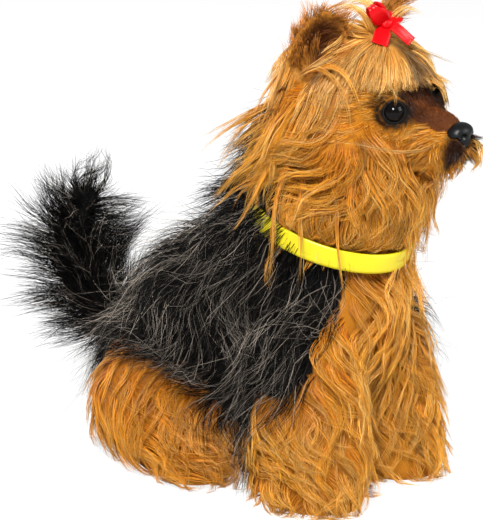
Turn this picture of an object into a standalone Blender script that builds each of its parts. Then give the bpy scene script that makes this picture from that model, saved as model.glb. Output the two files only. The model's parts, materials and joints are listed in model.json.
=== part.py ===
"""Sitting long-coated toy terrier, life size: a body clad in long pile laid in locks, bead eyes,
a moulded nose, a ribbon bow and a neck strap. Metres, +Z up, the toy faces -Y, and the origin
is on the floor under the middle of the seat."""

import math
import random

import bmesh
import bpy
from mathutils import Matrix, Vector
from mathutils.bvhtree import BVHTree

MM = 0.001
GAP = 0.45 * MM          # left between neighbours that touch
CLEAR = 0.7 * MM         # kept between a lock and any other node
FLOOR_CLEAR = 0.6 * MM   # lowest that a lock's tip may reach
SEED = 7
SMOOTH_BELOW = math.radians(50)          # edges that turn more than this stay sharp
HANDS = {"left": 1, "right": -1}         # the toy's own sides, +X and -X

# Driving sizes, in millimetres. A form has its centre as (side, forward, up), the half sizes of the
# skin along the same axes, and the length of the coat on it.
BODY_FORMS = [
    ((0, -6, 46), (50, 50, 52), 16),     # rump
    ((0, 45, 50), (46, 66, 56), 12),     # belly
    ((0, 30, 92), (50, 56, 52), 18),     # loin
    ((0, 66, 114), (50, 60, 50), 18),    # ribs
    ((0, 96, 106), (44, 44, 50), 12),    # chest
    ((0, 74, 143), (42, 46, 32), 22),    # withers
]
NECK_LEAN = math.radians(18)             # the neck and its strap lean forward by this
NECK_RADIUS, NECK_DEPTH = 44.0, 48.0
# The mane: share of the way up the neck, coat at the sides and at the nape
MANE = [(0.0, 0, 0), (0.18, 9, 8), (0.45, 15, 20), (0.75, 14, 18), (1.0, 4, 4)]
COLLAR_CENTRE = (0, 98, 156.5)
COLLAR_WIDTH, COLLAR_WALL = 12.0, 2.0
NECK_TOP = (0, 118, 222)

HEAD_FORMS = [
    ((0, 117, 236), (43, 38, 38), 6),    # skull
    ((0, 135, 245), (30, 22, 23), 4),    # forehead
    ((22, 116, 212), (26, 29, 28), 12),  # cheek, mirrored
    ((10, 148, 225), (15, 16, 15), 0),   # eye surround, mirrored
    ((0, 161, 222), (13, 26, 12), 0),    # bridge of the muzzle
    ((7, 171, 213.5), (10, 21, 9), 1),   # upper lip, mirrored
    ((0, 162, 204), (14, 24, 8), 3),     # lower jaw
    ((0, 140, 190), (24, 20, 26), 8),    # throat and beard
]
EYE_AT, EYE_RADIUS = (21.5, 155.5, 233.5), 6.3
NOSE_AT = (0, 186.5, 221)
EAR_BASE, EAR_TIP = (31, 106, 250), (37, 122, 290)
EAR_WIDTH, EAR_CUP, EAR_WALL = 18.0, 8.0, 3.0
# Share of the way from the ear's base to its tip, and share of its half width there
EAR_OUTLINE = [(-0.25, 1.0), (0.1, 1.08), (0.4, 0.98), (0.68, 0.7), (0.88, 0.4)]
BOW_AT = (0, 139, 279.5)
RIBBON_WIDTH, RIBBON_WALL = 6.5, 0.9
LOOP_MIDDLE, LOOP_REACH, LOOP_HEIGHT, LOOP_POINTS = 10.5, 8.2, 4.6, 12
BOW_END_STEPS = (2.6, 7, 12, 17, 21.5)

FORELEG_FOOT, FORELEG_TOP = (39, 114, 0), (34, 102, 112)
# Share of the way up a foreleg, half width and half depth
FORELEG_RINGS = [(0.0, 24, 30), (0.06, 27, 33), (0.3, 27, 32), (0.6, 25, 29), (0.86, 22, 26),
                 (1.0, 12, 15)]
FORELEG_COAT = 9
HIND_SIDE = 43
HIND_FORMS = [((0, -4, 38), (25, 34, 33), 8), ((2, 12, 28), (25, 34, 29), 8), ((2, 32, 13), (22, 24, 20), 7)]
TAIL_LINE = [(0, -40, 60), (0, -68, 72), (0, -91, 94), (0, -98, 121), (0, -87, 144)]
TAIL_RADII = [15, 14, 13, 12, 8]
TAIL_COAT = [6, 18, 29, 32, 22]

CORE_SHARE = 0.4                         # share of the coat's length filled by the core under the locks
LOCK_SINK, LOCK_BACK = 5.0, 2.0          # how deep a lock is rooted, and how far back from where it leaves
LOCK_WALL = 2.6                          # thickness of a lock at its root
# kind of node: spacing of roots, length, width, rise over the core, sideways wave, segments
LOCKS = {
    "foreleg": (19.0, 39, 21, 6.5, 0.45, 3),
    "hindleg": (16.5, 38, 21, 6.5, 0.4, 3),
    "torso": (20.0, 56, 25, 13.0, 0.25, 3),
    "tail": (15.0, 52, 19, 30.0, 0.3, 3),
    "neck": (14.0, 46, 20, 12.0, 0.3, 3),
    "head": (15.5, 48, 18, 8.0, 0.3, 3),
    "beard": (11.0, 42, 12, 8.0, 0.2, 3),
    "ear": (12.0, 24, 11, 4.0, 0.2, 2),
    "topknot": (9.0, 24, 10, 7.0, 0.2, 2),
}
MOST_TURN = math.radians(48)             # sharpest turn of a lock from one segment to the next
# How a lock is tried in turn: share of its length, of its rise and of its wave
TRIES = [(1, 1, 1), (1, 0.75, 1), (1, 1.35, 1), (1, 1, -1), (1, 1.7, -0.5), (0.8, 1.2, 0.5),
         (0.65, 1.0, 0.5), (0.65, 1.7, 0), (0.5, 1.3, 0), (0.4, 0.8, 0)]

COLOURS = {
    "tan_coat": (0.55, 0.25, 0.06, 1), "dark_coat": (0.03, 0.026, 0.022, 1),
    "eye_bead": (0.005, 0.004, 0.004, 1), "nose_plastic": (0.012, 0.011, 0.01, 1),
    "strap_vinyl": (0.85, 0.7, 0.01, 1), "bow_satin": (0.6, 0.01, 0.015, 1),
}
ROUGHNESS = {"eye_bead": 0.05, "nose_plastic": 0.35, "strap_vinyl": 0.4, "bow_satin": 0.35}
# Finish by the first word of a node's name; every other node has the tan coat
FINISHES = {"torso": "dark_coat", "tail": "dark_coat", "collar": "strap_vinyl", "nose": "nose_plastic",
            "eye": "eye_bead", "bow": "bow_satin"}


def place(side, forward, up):
    """A point from millimetres to the side, forward and up."""
    return Vector((side, -forward, up)) * MM


def towards(side, forward, up):
    """A direction given to the side, forward and up."""
    return Vector((side, -forward, up)).normalized()


def spread(point):
    """A point back in millimetres to the side, forward and up."""
    return point.x / MM, -point.y / MM, point.z / MM


def along(flow, out):
    """The part of a direction that runs along the surface."""
    return (flow - out * flow.dot(out)).normalized()


def ramp(value, start, end):
    """0 before start, 1 past end, and evenly between."""
    return min(1.0, max(0.0, (value - start) / (end - start)))


def clear_scene():
    for obj in list(bpy.data.objects):
        bpy.data.objects.remove(obj)


def material(name):
    found = bpy.data.materials.get(name)
    if found:
        return found
    made = bpy.data.materials.new(name)
    made.use_nodes = True
    shader = made.node_tree.nodes["Principled BSDF"]
    shader.inputs["Base Color"].default_value = COLOURS[name]
    shader.inputs["Roughness"].default_value = ROUGHNESS.get(name, 0.7)
    shader.inputs["Metallic"].default_value = 0.0
    return made


def object_from(bm, name):
    """A linked object from a bmesh, which is freed."""
    mesh = bpy.data.meshes.new(name)
    bm.normal_update()
    bm.to_mesh(mesh)
    bm.free()
    obj = bpy.data.objects.new(name, mesh)
    bpy.context.scene.collection.objects.link(obj)
    return obj


def settle(obj):
    """Applies every modifier of an object."""
    graph = bpy.context.evaluated_depsgraph_get()
    mesh = bpy.data.meshes.new_from_object(obj.evaluated_get(graph))
    old = obj.data
    obj.modifiers.clear()
    obj.data = mesh
    bpy.data.meshes.remove(old)
    return obj


def remove(obj):
    mesh = obj.data
    bpy.data.objects.remove(obj)
    bpy.data.meshes.remove(mesh)


def keep_largest(obj):
    """Leaves only the closed surface with the largest volume."""
    bm = bmesh.new()
    bm.from_mesh(obj.data)
    bmesh.ops.remove_doubles(bm, verts=bm.verts, dist=1e-6)
    unseen, islands = set(bm.faces), []
    while unseen:
        stack, island = [unseen.pop()], set()
        while stack:
            face = stack.pop()
            island.add(face)
            for edge in face.edges:
                for other in edge.link_faces:
                    if other in unseen:
                        unseen.discard(other)
                        stack.append(other)
        islands.append(island)

    def volume(island):
        total = 0.0
        for face in island:
            corners = [v.co for v in face.verts]
            for k in range(1, len(corners) - 1):
                total += corners[0].dot(corners[k].cross(corners[k + 1])) / 6
        return total

    islands.sort(key=volume, reverse=True)
    scrap = [face for island in islands[1:] for face in island]
    if scrap:
        bmesh.ops.delete(bm, geom=scrap, context="FACES")
        loose = [v for v in bm.verts if not v.link_faces]
        bmesh.ops.delete(bm, geom=loose, context="VERTS")
    bm.to_mesh(obj.data)
    bm.free()
    return obj


def combine(obj, others, operation):
    """One applied Boolean with a collection of closed meshes, which are then removed."""
    tools = bpy.data.collections.new(obj.name + "_tools")
    bpy.context.scene.collection.children.link(tools)
    for other in others:
        bpy.context.scene.collection.objects.unlink(other)
        tools.objects.link(other)
    boolean = obj.modifiers.new("combine", "BOOLEAN")
    boolean.operation = operation
    boolean.operand_type = "COLLECTION"
    boolean.collection = tools
    boolean.solver = "EXACT"
    settle(obj)
    for other in list(tools.objects):
        remove(other)
    bpy.data.collections.remove(tools)
    return keep_largest(obj)


def grown_copy(obj):
    """A copy pushed out along its normals, to cut a neighbour with a gap."""
    bm = bmesh.new()
    bm.from_mesh(obj.data)
    bm.normal_update()
    moves = [v.normal * GAP for v in bm.verts]
    for vert, move in zip(bm.verts, moves):
        vert.co += move
    return object_from(bm, obj.name + "_grown")


def cut_by(obj, *neighbours):
    return combine(obj, [grown_copy(n) for n in neighbours], "DIFFERENCE")


def add_form(bm, centre, half, turn=0.0, detail=3):
    shape = Matrix.Diagonal((*[h * MM for h in half], 1))
    where = Matrix.Translation(place(*centre)) @ Matrix.Rotation(turn, 4, "X")
    bmesh.ops.create_icosphere(bm, subdivisions=detail, radius=1, matrix=where @ shape)


def melt(bm, name, voxel, triangles, smoothing=6):
    """Joins overlapping closed forms into one smooth body of about so many triangles."""
    obj = object_from(bm, name)
    remesh = obj.modifiers.new("join", "REMESH")
    remesh.mode = "VOXEL"
    remesh.voxel_size = voxel * MM
    smooth = obj.modifiers.new("smooth", "SMOOTH")
    smooth.iterations = smoothing
    settle(obj)
    obj.data.calc_loop_triangles()
    thin = obj.modifiers.new("thin", "DECIMATE")
    thin.ratio = min(1.0, triangles / max(1, len(obj.data.loop_triangles)))
    thin.use_collapse_triangulate = True
    settle(obj)
    return keep_largest(obj)


def cut_at_floor(obj):
    """Cuts a body level at the floor."""
    bm = bmesh.new()
    bm.from_mesh(obj.data)
    everything = bm.verts[:] + bm.edges[:] + bm.faces[:]
    bmesh.ops.bisect_plane(bm, geom=everything, dist=1e-6, plane_co=(0, 0, 0), plane_no=(0, 0, 1),
                           clear_inner=True)
    bmesh.ops.holes_fill(bm, edges=[e for e in bm.edges if e.is_boundary], sides=0)
    bmesh.ops.triangulate(bm, faces=bm.faces[:])
    bmesh.ops.recalc_face_normals(bm, faces=bm.faces[:])
    bm.to_mesh(obj.data)
    bm.free()
    return obj


def ring_body(rings, name, sides):
    """A closed body through rings given as (centre, axis across, axis along, half, half)."""
    bm = bmesh.new()
    loops = []
    for centre, across, along, half_a, half_b in rings:
        loop = []
        for k in range(sides):
            angle = 2 * math.pi * k / sides
            offset = across * (half_a * math.cos(angle)) + along * (half_b * math.sin(angle))
            loop.append(bm.verts.new(centre + offset * MM))
        loops.append(loop)
    for low, high in zip(loops, loops[1:]):
        for k in range(sides):
            n = (k + 1) % sides
            bm.faces.new((low[k], low[n], high[n], high[k]))
    bm.faces.new(loops[0][::-1])
    bm.faces.new(loops[-1])
    bmesh.ops.triangulate(bm, faces=bm.faces[:])
    bmesh.ops.recalc_face_normals(bm, faces=bm.faces[:])
    return object_from(bm, name)


SIDE = Vector((1, 0, 0))
AHEAD = Vector((0, -1, 0))
NECK_AXIS = Vector((0, -math.sin(NECK_LEAN), math.cos(NECK_LEAN)))
NECK_ALONG = Vector((0, -math.cos(NECK_LEAN), -math.sin(NECK_LEAN)))


def block_above_torso():
    """A block whose lower face lies square to the neck, just under the strap."""
    size = 400 * MM
    middle = place(*COLLAR_CENTRE) + NECK_AXIS * (size / 2 - (COLLAR_WIDTH / 2 + 1) * MM)
    bm = bmesh.new()
    where = Matrix.Translation(middle) @ Matrix.Rotation(NECK_LEAN, 4, "X")
    bmesh.ops.create_cube(bm, size=size, matrix=where)
    return object_from(bm, "block")


def coated(half, coat):
    """Half sizes of a form with the core's share of its coat on it."""
    return tuple(h + coat * CORE_SHARE for h in half)


def build_torso():
    bm = bmesh.new()
    for centre, half, coat in BODY_FORMS:
        add_form(bm, centre, coated(half, coat))
    torso = melt(bm, "torso", 4.0, 460, 14)
    combine(torso, [block_above_torso()], "DIFFERENCE")
    return cut_at_floor(torso)


def build_neck():
    """A leaning body from inside the strap up into the head, wider where the mane is."""
    low = -COLLAR_WIDTH / 2 - 0.5
    foot = place(*COLLAR_CENTRE) + NECK_AXIS * (low * MM)
    over = place(*COLLAR_CENTRE) + NECK_AXIS * ((COLLAR_WIDTH / 2 + 1.2) * MM)
    rings = [(foot, SIDE, NECK_ALONG, NECK_RADIUS, NECK_DEPTH)]
    for rise, swell, nape in MANE:
        swell, nape, slim = swell * CORE_SHARE, nape * CORE_SHARE, 4 * rise
        middle = over.lerp(place(*NECK_TOP), rise) - NECK_ALONG * ((nape - swell) * MM / 2)
        depth = NECK_DEPTH + (swell + nape) / 2 - slim
        rings.append((middle, SIDE, NECK_ALONG, NECK_RADIUS + swell - slim, depth))
    return ring_body(rings, "neck", 15)


def build_collar():
    """The strap: an oval band round the foot of the neck."""
    sides, half, inner, bevel = 28, COLLAR_WIDTH / 2, 0.5, 0.5
    outer = inner + COLLAR_WALL
    profile = [(inner, -half), (outer, bevel - half), (outer, half - bevel), (inner, half)]
    middle = place(*COLLAR_CENTRE)
    bm = bmesh.new()
    loops = []
    for k in range(sides):
        angle = 2 * math.pi * k / sides
        loop = []
        for out, along in profile:
            a = (NECK_RADIUS + out) * math.cos(angle)
            b = (NECK_DEPTH + out) * math.sin(angle)
            loop.append(bm.verts.new(middle + (SIDE * a + NECK_ALONG * b + NECK_AXIS * along) * MM))
        loops.append(loop)
    for k in range(sides):
        here, there = loops[k], loops[(k + 1) % sides]
        for c in range(4):
            d = (c + 1) % 4
            bm.faces.new((here[c], here[d], there[d], there[c]))
    bmesh.ops.triangulate(bm, faces=bm.faces[:])
    bmesh.ops.recalc_face_normals(bm, faces=bm.faces[:])
    return object_from(bm, "collar")


def build_head():
    bm = bmesh.new()
    for (side, forward, up), half, coat in HEAD_FORMS:
        for hand in (HANDS.values() if side else (1,)):
            add_form(bm, (side * hand, forward, up), coated(half, coat))
    return melt(bm, "head", 1.9, 740, 4)


def build_ear(word):
    """A cupped ear: a curved leaf with a wall, open forward and to the side."""
    hand = HANDS[word]
    base, tip = place(EAR_BASE[0] * hand, *EAR_BASE[1:]), place(EAR_TIP[0] * hand, *EAR_TIP[1:])
    rise = (tip - base).normalized()
    face = along(towards(0.62 * hand, 0.78, 0.1), rise)
    across = rise.cross(face).normalized()
    columns = 5
    bm = bmesh.new()
    front, back = [], []
    for share, width in EAR_OUTLINE:
        row_front, row_back = [], []
        for c in range(columns):
            u = -1 + 2 * c / (columns - 1)
            dip = EAR_CUP * (1 - u * u) * width
            centre = base.lerp(tip, share) + across * (u * EAR_WIDTH * width * MM)
            row_front.append(bm.verts.new(centre - face * dip * MM))
            thick = EAR_WALL * (0.45 + 0.55 * (1 - u * u))
            row_back.append(bm.verts.new(centre - face * (dip + thick) * MM))
        front.append(row_front)
        back.append(row_back)
    peak = bm.verts.new(tip - face * (EAR_CUP * 0.1) * MM)
    for rows in (front, back):
        for low, high in zip(rows, rows[1:]):
            for c in range(columns - 1):
                bm.faces.new((low[c], low[c + 1], high[c + 1], high[c]))
        for c in range(columns - 1):
            bm.faces.new((rows[-1][c], rows[-1][c + 1], peak))
    for k in range(len(EAR_OUTLINE) - 1):
        for c in (0, columns - 1):
            bm.faces.new((front[k][c], front[k + 1][c], back[k + 1][c], back[k][c]))
    for c in (0, columns - 1):
        bm.faces.new((front[-1][c], peak, back[-1][c]))
    for c in range(columns - 1):
        bm.faces.new((front[0][c], front[0][c + 1], back[0][c + 1], back[0][c]))
    bmesh.ops.triangulate(bm, faces=bm.faces[:])
    bmesh.ops.recalc_face_normals(bm, faces=bm.faces[:])
    return object_from(bm, f"ear_{word}")


def build_eye(word):
    bm = bmesh.new()
    side, forward, up = EYE_AT
    add_form(bm, (side * HANDS[word], forward, up), (EYE_RADIUS,) * 3)
    return object_from(bm, f"eye_{word}")


def build_nose():
    """A moulded nose pad with two nostrils and a groove under it."""
    bm = bmesh.new()
    side, forward, up = NOSE_AT
    add_form(bm, (0, forward, up + 1.2), (8.8, 6.6, 5.4))
    add_form(bm, (0, forward - 1, up - 3), (5.2, 6.0, 5.6))
    for hand in HANDS.values():
        add_form(bm, (5.0 * hand, forward - 1.0, up - 0.4), (4.6, 5.6, 4.8))
    nose = melt(bm, "nose", 0.7, 300, 2)
    holes = []
    for hand in HANDS.values():
        bm = bmesh.new()
        add_form(bm, (4.6 * hand, forward + 5.6, up - 1.2), (2.0, 3.4, 1.7), detail=2)
        holes.append(object_from(bm, "nostril"))
    return combine(nose, holes, "DIFFERENCE")


def build_foreleg(word):
    """A thick column from the floor up into the chest."""
    hand, rings = HANDS[word], []
    foot = place(FORELEG_FOOT[0] * hand, *FORELEG_FOOT[1:])
    top = place(FORELEG_TOP[0] * hand, *FORELEG_TOP[1:])
    for rise, half_x, half_y in FORELEG_RINGS:
        rings.append((foot.lerp(top, rise), SIDE, AHEAD, *coated((half_x, half_y), FORELEG_COAT)))
    return ring_body(rings, f"foreleg_{word}", 14)


def build_hindleg(word):
    """The folded haunch and foot, flat on the floor."""
    hand, bm = HANDS[word], bmesh.new()
    for (side, forward, up), half, coat in HIND_FORMS:
        add_form(bm, ((HIND_SIDE + side) * hand, forward, up), coated(half, coat))
    return cut_at_floor(melt(bm, f"hindleg_{word}", 3.0, 200, 16))


def build_tail():
    """The tail curving up behind the rump."""
    points = [place(*p) for p in TAIL_LINE]
    bm = bmesh.new()
    steps = 4
    for k in range(len(points) - 1):
        for s in range(steps + 1):
            part = s / steps
            radius = TAIL_RADII[k] + (TAIL_RADII[k + 1] - TAIL_RADII[k]) * part
            coat = TAIL_COAT[k] + (TAIL_COAT[k + 1] - TAIL_COAT[k]) * part
            size = (radius + coat * CORE_SHARE) * MM
            where = Matrix.Translation(points[k].lerp(points[k + 1], part))
            bmesh.ops.create_icosphere(bm, subdivisions=2, radius=size, matrix=where)
    return melt(bm, "tail", 2.5, 220, 6)


def ribbon_strip(line, name, across, closed=False):
    """A flat ribbon along a line of points, as a closed solid."""
    bm = bmesh.new()
    loops = []
    count = len(line)
    wide, thick = RIBBON_WIDTH * MM / 2, RIBBON_WALL * MM / 2
    for k, point in enumerate(line):
        ahead = line[(k + 1) % count] if closed or k < count - 1 else point
        behind = line[k - 1] if closed or k else point
        run = (ahead - behind).normalized()
        flat = (across - run * across.dot(run)).normalized()
        up = run.cross(flat)
        loops.append([bm.verts.new(point + flat * (sx * wide) + up * (sy * thick))
                      for sx, sy in ((-1, -1), (1, -1), (1, 1), (-1, 1))])
    pairs = list(zip(loops, loops[1:])) + ([(loops[-1], loops[0])] if closed else [])
    for here, there in pairs:
        for c in range(4):
            d = (c + 1) % 4
            bm.faces.new((here[c], here[d], there[d], there[c]))
    if not closed:
        bm.faces.new(loops[0])
        bm.faces.new(loops[-1])
    bmesh.ops.triangulate(bm, faces=bm.faces[:])
    bmesh.ops.recalc_face_normals(bm, faces=bm.faces[:])
    return object_from(bm, name)


def build_bow():
    """A small tied bow: a knot, two loops and two ends, in one plane facing forward and up."""
    knot_at = place(*BOW_AT)
    bm = bmesh.new()
    add_form(bm, BOW_AT, (3.6, 3.2, 3.0), detail=2)
    made = [object_from(bm, "bow_knot")]
    for word, hand in HANDS.items():
        out = towards(hand, 0.12, 0.3)
        lift = along(towards(0, 0.45, 0.9), out)
        depth = out.cross(lift).normalized()
        line = []
        for k in range(LOOP_POINTS):
            angle = math.pi + 2 * math.pi * k / LOOP_POINTS
            reach = LOOP_MIDDLE + LOOP_REACH * math.cos(angle)
            swell = LOOP_HEIGHT * math.sin(angle) * (0.45 + 0.55 * reach / (LOOP_MIDDLE + LOOP_REACH))
            line.append(knot_at + (out * reach + lift * swell) * MM)
        made.append(ribbon_strip(line, f"bow_loop_{word}", depth, closed=True))
        drop = towards(0.75 * hand, 0.62, -0.5)
        end = [knot_at + (drop * s - lift * 0.5 + Vector((0, 0, 1.2 * math.sin(s / 4)))) * MM
               for s in BOW_END_STEPS]
        made.append(ribbon_strip(end, f"bow_end_{word}", Vector((0.55, 0.5 * hand, -0.2))))
    return made


def build_topknot():
    """The gathered hair that stands behind the bow."""
    bm = bmesh.new()
    forward, up = BOW_AT[1], BOW_AT[2]
    add_form(bm, (0, forward - 13, up - 1), (15, 13, 8), math.radians(20), detail=2)
    return object_from(bm, "topknot")


def surface_of(*objects):
    """One search tree over the faces of some objects."""
    corners, faces = [], []
    for obj in objects:
        base = len(corners)
        corners.extend(v.co.copy() for v in obj.data.vertices)
        faces.extend([base + i for i in p.vertices] for p in obj.data.polygons)
    return BVHTree.FromPolygons(corners, faces)


def scatter(obj, spacing, rng):
    """Points spread over a body's surface, each with its outward normal."""
    bm = bmesh.new()
    bm.from_mesh(obj.data)
    bmesh.ops.triangulate(bm, faces=bm.faces[:])
    faces = [([v.co.copy() for v in f.verts], f.normal.copy()) for f in bm.faces]
    areas = [f.calc_area() for f in bm.faces]
    bm.free()
    picks = int(sum(areas) / (spacing * MM) ** 2 * 14)
    chosen = []
    for corners, normal in rng.choices(faces, weights=areas, k=picks):
        a, b = rng.random(), rng.random()
        if a + b > 1:
            a, b = 1 - a, 1 - b
        point = corners[0] + (corners[1] - corners[0]) * a + (corners[2] - corners[0]) * b
        if all((point - other).length > spacing * MM for other, _ in chosen):
            chosen.append((point, normal))
    return chosen


def lay_path(root, normal, lie, length, rise, segments, bodies):
    """Points and outward directions of a lock that leaves its root and lies along the body."""
    step = length * MM / segments
    heading = lie(root, normal)
    points = [root - normal * (LOCK_SINK * MM) - heading * (LOCK_BACK * MM)]
    outs = [normal]
    here, out = root, normal
    for k in range(1, segments + 1):
        heading = lie(here, out)
        goal = here + heading * step
        near, face_normal, _, _ = bodies.find_nearest(goal)
        height = (goal - near).dot(face_normal)
        want = rise * MM * (k / segments) ** 0.7
        if height < want:
            goal = near + face_normal * want
            out = (out + face_normal * 2).normalized()
        here = goal
        points.append(here)
        outs.append(out)
    return points, outs


def lock_body(points, outs, width, extra=0.0):
    """Corners and faces of a flat lock: rings of four corners, wide across and thin through, and a tip."""
    count = len(points) - 1
    rings = []
    for k in range(count):
        share = k / count
        run = (points[k + 1] - points[max(0, k - 1)]).normalized()
        out = (outs[k] - run * outs[k].dot(run)).normalized()
        across = run.cross(out)
        wide = (width * (0.62 + 1.5 * share - 1.75 * share * share) / 2) * MM + extra
        thick = (LOCK_WALL * (1 - 0.45 * share) / 2) * MM + extra
        rings.append([points[k] - across * wide, points[k] + out * thick,
                      points[k] + across * wide, points[k] - out * thick])
    tip = points[-1] + (points[-1] - points[-2]).normalized() * extra
    corners = [c for ring in rings for c in ring] + [tip]
    last = count - 1
    faces = [(0, 1, 2, 3)]
    for k in range(last):
        low, high = 4 * k, 4 * (k + 1)
        for edge, middle in ((0, 1), (0, 3)):
            faces.append((low + edge, high + edge, high + middle))
            faces.append((low + edge, high + middle, low + middle))
        for middle, edge in ((1, 2), (3, 2)):
            faces.append((low + middle, high + middle, high + edge))
            faces.append((low + middle, high + edge, low + edge))
    for c in range(4):
        faces.append((4 * last + c, len(corners) - 1, 4 * last + (c + 1) % 4))
    return corners, faces


def lock_solid(corners, faces):
    bm = bmesh.new()
    verts = [bm.verts.new(c) for c in corners]
    for face in faces:
        bm.faces.new([verts[i] for i in face])
    bmesh.ops.triangulate(bm, faces=bm.faces[:])
    bmesh.ops.recalc_face_normals(bm, faces=bm.faces[:])
    return object_from(bm, "lock")


def extent(corners):
    """Lowest and highest corners of the box round some points."""
    return [min(c[i] for c in corners) for i in range(3)], [max(c[i] for c in corners) for i in range(3)]


class Coat:
    """The locks laid so far, each kept clear of every node but its own."""

    def __init__(self, cores, rng):
        self.rng = rng
        self.bodies = surface_of(*cores)
        self.trees = {core.name: surface_of(core) for core in cores}
        self.laid = []
        self.made = {}

    def clear(self, owner, corners, faces):
        """Whether a body keeps off the floor and every other node."""
        low, high = extent(corners)
        if low[2] < FLOOR_CLEAR:
            return False
        tree = BVHTree.FromPolygons(corners, faces)
        if any(tree.overlap(other) for name, other in self.trees.items() if name != owner):
            return False
        for name, other_low, other_high, other in self.laid:
            if name == owner or any(low[i] > other_high[i] or high[i] < other_low[i] for i in range(3)):
                continue
            if tree.overlap(other):
                return False
        return True

    def crossings(self, owner, tree):
        """How many faces of the owner's own locks a lock crosses."""
        return sum(len(tree.overlap(other)) for name, _, _, other in self.laid if name == owner)

    def try_lock(self, owner, points, outs, width):
        """The corners and faces of a lock, or None where it bends too sharply or meets another node."""
        runs = [b - a for a, b in zip(points, points[1:])]
        if any(a.angle(b) > MOST_TURN for a, b in zip(runs, runs[1:])):
            return None
        if not self.clear(owner, *lock_body(points, outs, width, CLEAR)):
            return None
        corners, faces = lock_body(points, outs, width)
        tree = BVHTree.FromPolygons(corners, faces)
        if any(not set(faces[a]) & set(faces[b]) for a, b in tree.overlap(tree)):
            return None
        return corners, faces

    def lay(self, obj, kind, lie, accept=None, shape=None):
        """Lays locks of one kind over a node, those that keep clear of the other nodes."""
        spacing, length, width, rise, wave, segments = LOCKS[kind]
        for root, normal in scatter(obj, spacing, self.rng):
            scale, lift = self.rng.uniform(0.85, 1.15), self.rng.uniform(0.8, 1.15)
            bend = self.rng.uniform(-wave, wave)
            if accept and not accept(root, normal):
                continue
            long_by, high_by = shape(root, normal) if shape else (1.0, 1.0)
            best = None
            for shorter, higher, turn in TRIES:
                def heading(point, out):
                    flow = lie(point, out)
                    return (flow + out.cross(flow) * bend * turn).normalized()

                points, outs = lay_path(root, normal, heading, length * scale * long_by * shorter,
                                        rise * lift * high_by * higher, segments, self.bodies)
                lock = self.try_lock(obj.name, points, outs, width * (0.55 + 0.45 * shorter))
                if lock is None:
                    continue
                tree = BVHTree.FromPolygons(*lock)
                cost = self.crossings(obj.name, tree)
                if best is None or cost < best[0]:
                    best = (cost, lock, tree)
                if cost == 0 or shorter < 1:
                    break
            if best is None:
                continue
            _, lock, tree = best
            self.laid.append((obj.name, *extent(lock[0]), tree))
            self.made.setdefault(obj.name, []).append(lock_solid(*lock))

    def fuse(self, obj):
        """Joins a node and its locks into one closed body."""
        return combine(obj, self.made.pop(obj.name), "UNION")


def torso_lie(point, out):
    """Down and back over the back and sides, straight down on the chest."""
    side, forward, up = spread(point)
    chest = ramp(forward, 90, 125)
    return along(towards(0.25 * math.copysign(1, side), 0.1 * chest - 0.55 * (1 - chest), -0.85), out)


def leg_lie(point, out):
    """Down the leg."""
    return along(towards(0.1 * math.copysign(1, out.x), 0.15, -1), out)


def haunch_lie(point, out):
    """Forward and down over the haunch to the foot."""
    return along(towards(0.15 * math.copysign(1, out.x), 0.75, -0.65), out)


def neck_lie(point, out):
    """Down the neck, and standing out backwards at the nape."""
    side, forward, up = spread(point)
    nape = ramp(-forward, -85, -55)
    down = along(towards(0.15 * math.copysign(1, side), 0, -1), out)
    return (down * (1 - 0.5 * nape) + towards(0, -1, -0.5) * nape).normalized()


def head_lie(point, out):
    """Away from the bow over the crown, back and down on the cheeks, down under the jaw."""
    side, forward, up = spread(point)
    away = point - place(*BOW_AT)
    crown = ramp(up, 225, 250)
    fall = towards(0.3 * math.copysign(1, side), -0.45, -0.9)
    lying = along(away.normalized() * crown + fall * (1.15 - crown), out)
    nape = ramp(-forward, -100, -80) * ramp(-up, -258, -238)
    return (lying * (1 - 0.5 * nape) + towards(0, -1, -0.7) * nape).normalized()


def tail_lie(point, out):
    """Along the tail to its tip."""
    spine = [place(*p) for p in TAIL_LINE]
    k = min(range(len(spine)), key=lambda i: (spine[i] - point).length)
    run = (spine[min(k + 1, len(spine) - 1)] - spine[max(0, k - 1)]).normalized()
    return along(run, out)


def ear_lie(point, out):
    """To the ear's tip."""
    return along(place(*EAR_TIP) - place(*EAR_BASE), out)


def topknot_lie(point, out):
    """Back from the bow and out to both sides."""
    return along(towards(0.5 * math.copysign(1, point.x), -0.8, 0.15), out)


def torso_shape(point, out):
    """Shares of a lock's length and rise: higher along the back, shorter on the chest."""
    side, forward, up = spread(point)
    back = max(0.0, out.z) * ramp(up, 90, 130)
    chest = ramp(forward, 100, 130)
    return 1 - 0.3 * chest, (1 + 0.5 * back) * (1 - 0.4 * chest)


def neck_shape(point, out):
    """Long and high at the nape, short at the front and sides, where the strap shows."""
    nape = ramp(point.y / MM, -85, -60)
    return 0.6 + 0.65 * nape, 0.8 + 0.9 * nape


def head_shape(point, out):
    """Short over the brow, long on the cheeks."""
    side, forward, up = spread(point)
    low = ramp(-up, -240, -210)
    brow = ramp(forward, 130, 150) * (1 - low)
    return 0.75 + 0.35 * low - 0.25 * brow, 0.8 + 0.5 * low - 0.3 * brow


def on_beard(point, out):
    """Under the jaw and down the throat."""
    side, forward, up = spread(point)
    return abs(side) < 26 and 132 < forward < 178 and up < 203


def on_head(point, out):
    """Everywhere but round the eyes, on the muzzle and where the beard grows."""
    side, forward, up = spread(point)
    face = forward > 148 and up < 240
    return math.dist((abs(side), forward, up), EYE_AT) > 15 and not face and not on_beard(point, out)


def on_side(point, out):
    return abs(out.z) < 0.6


def on_top(point, out):
    return out.z > -0.6


def on_back_of_ear(point, out):
    return out.y > 0.1


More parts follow.
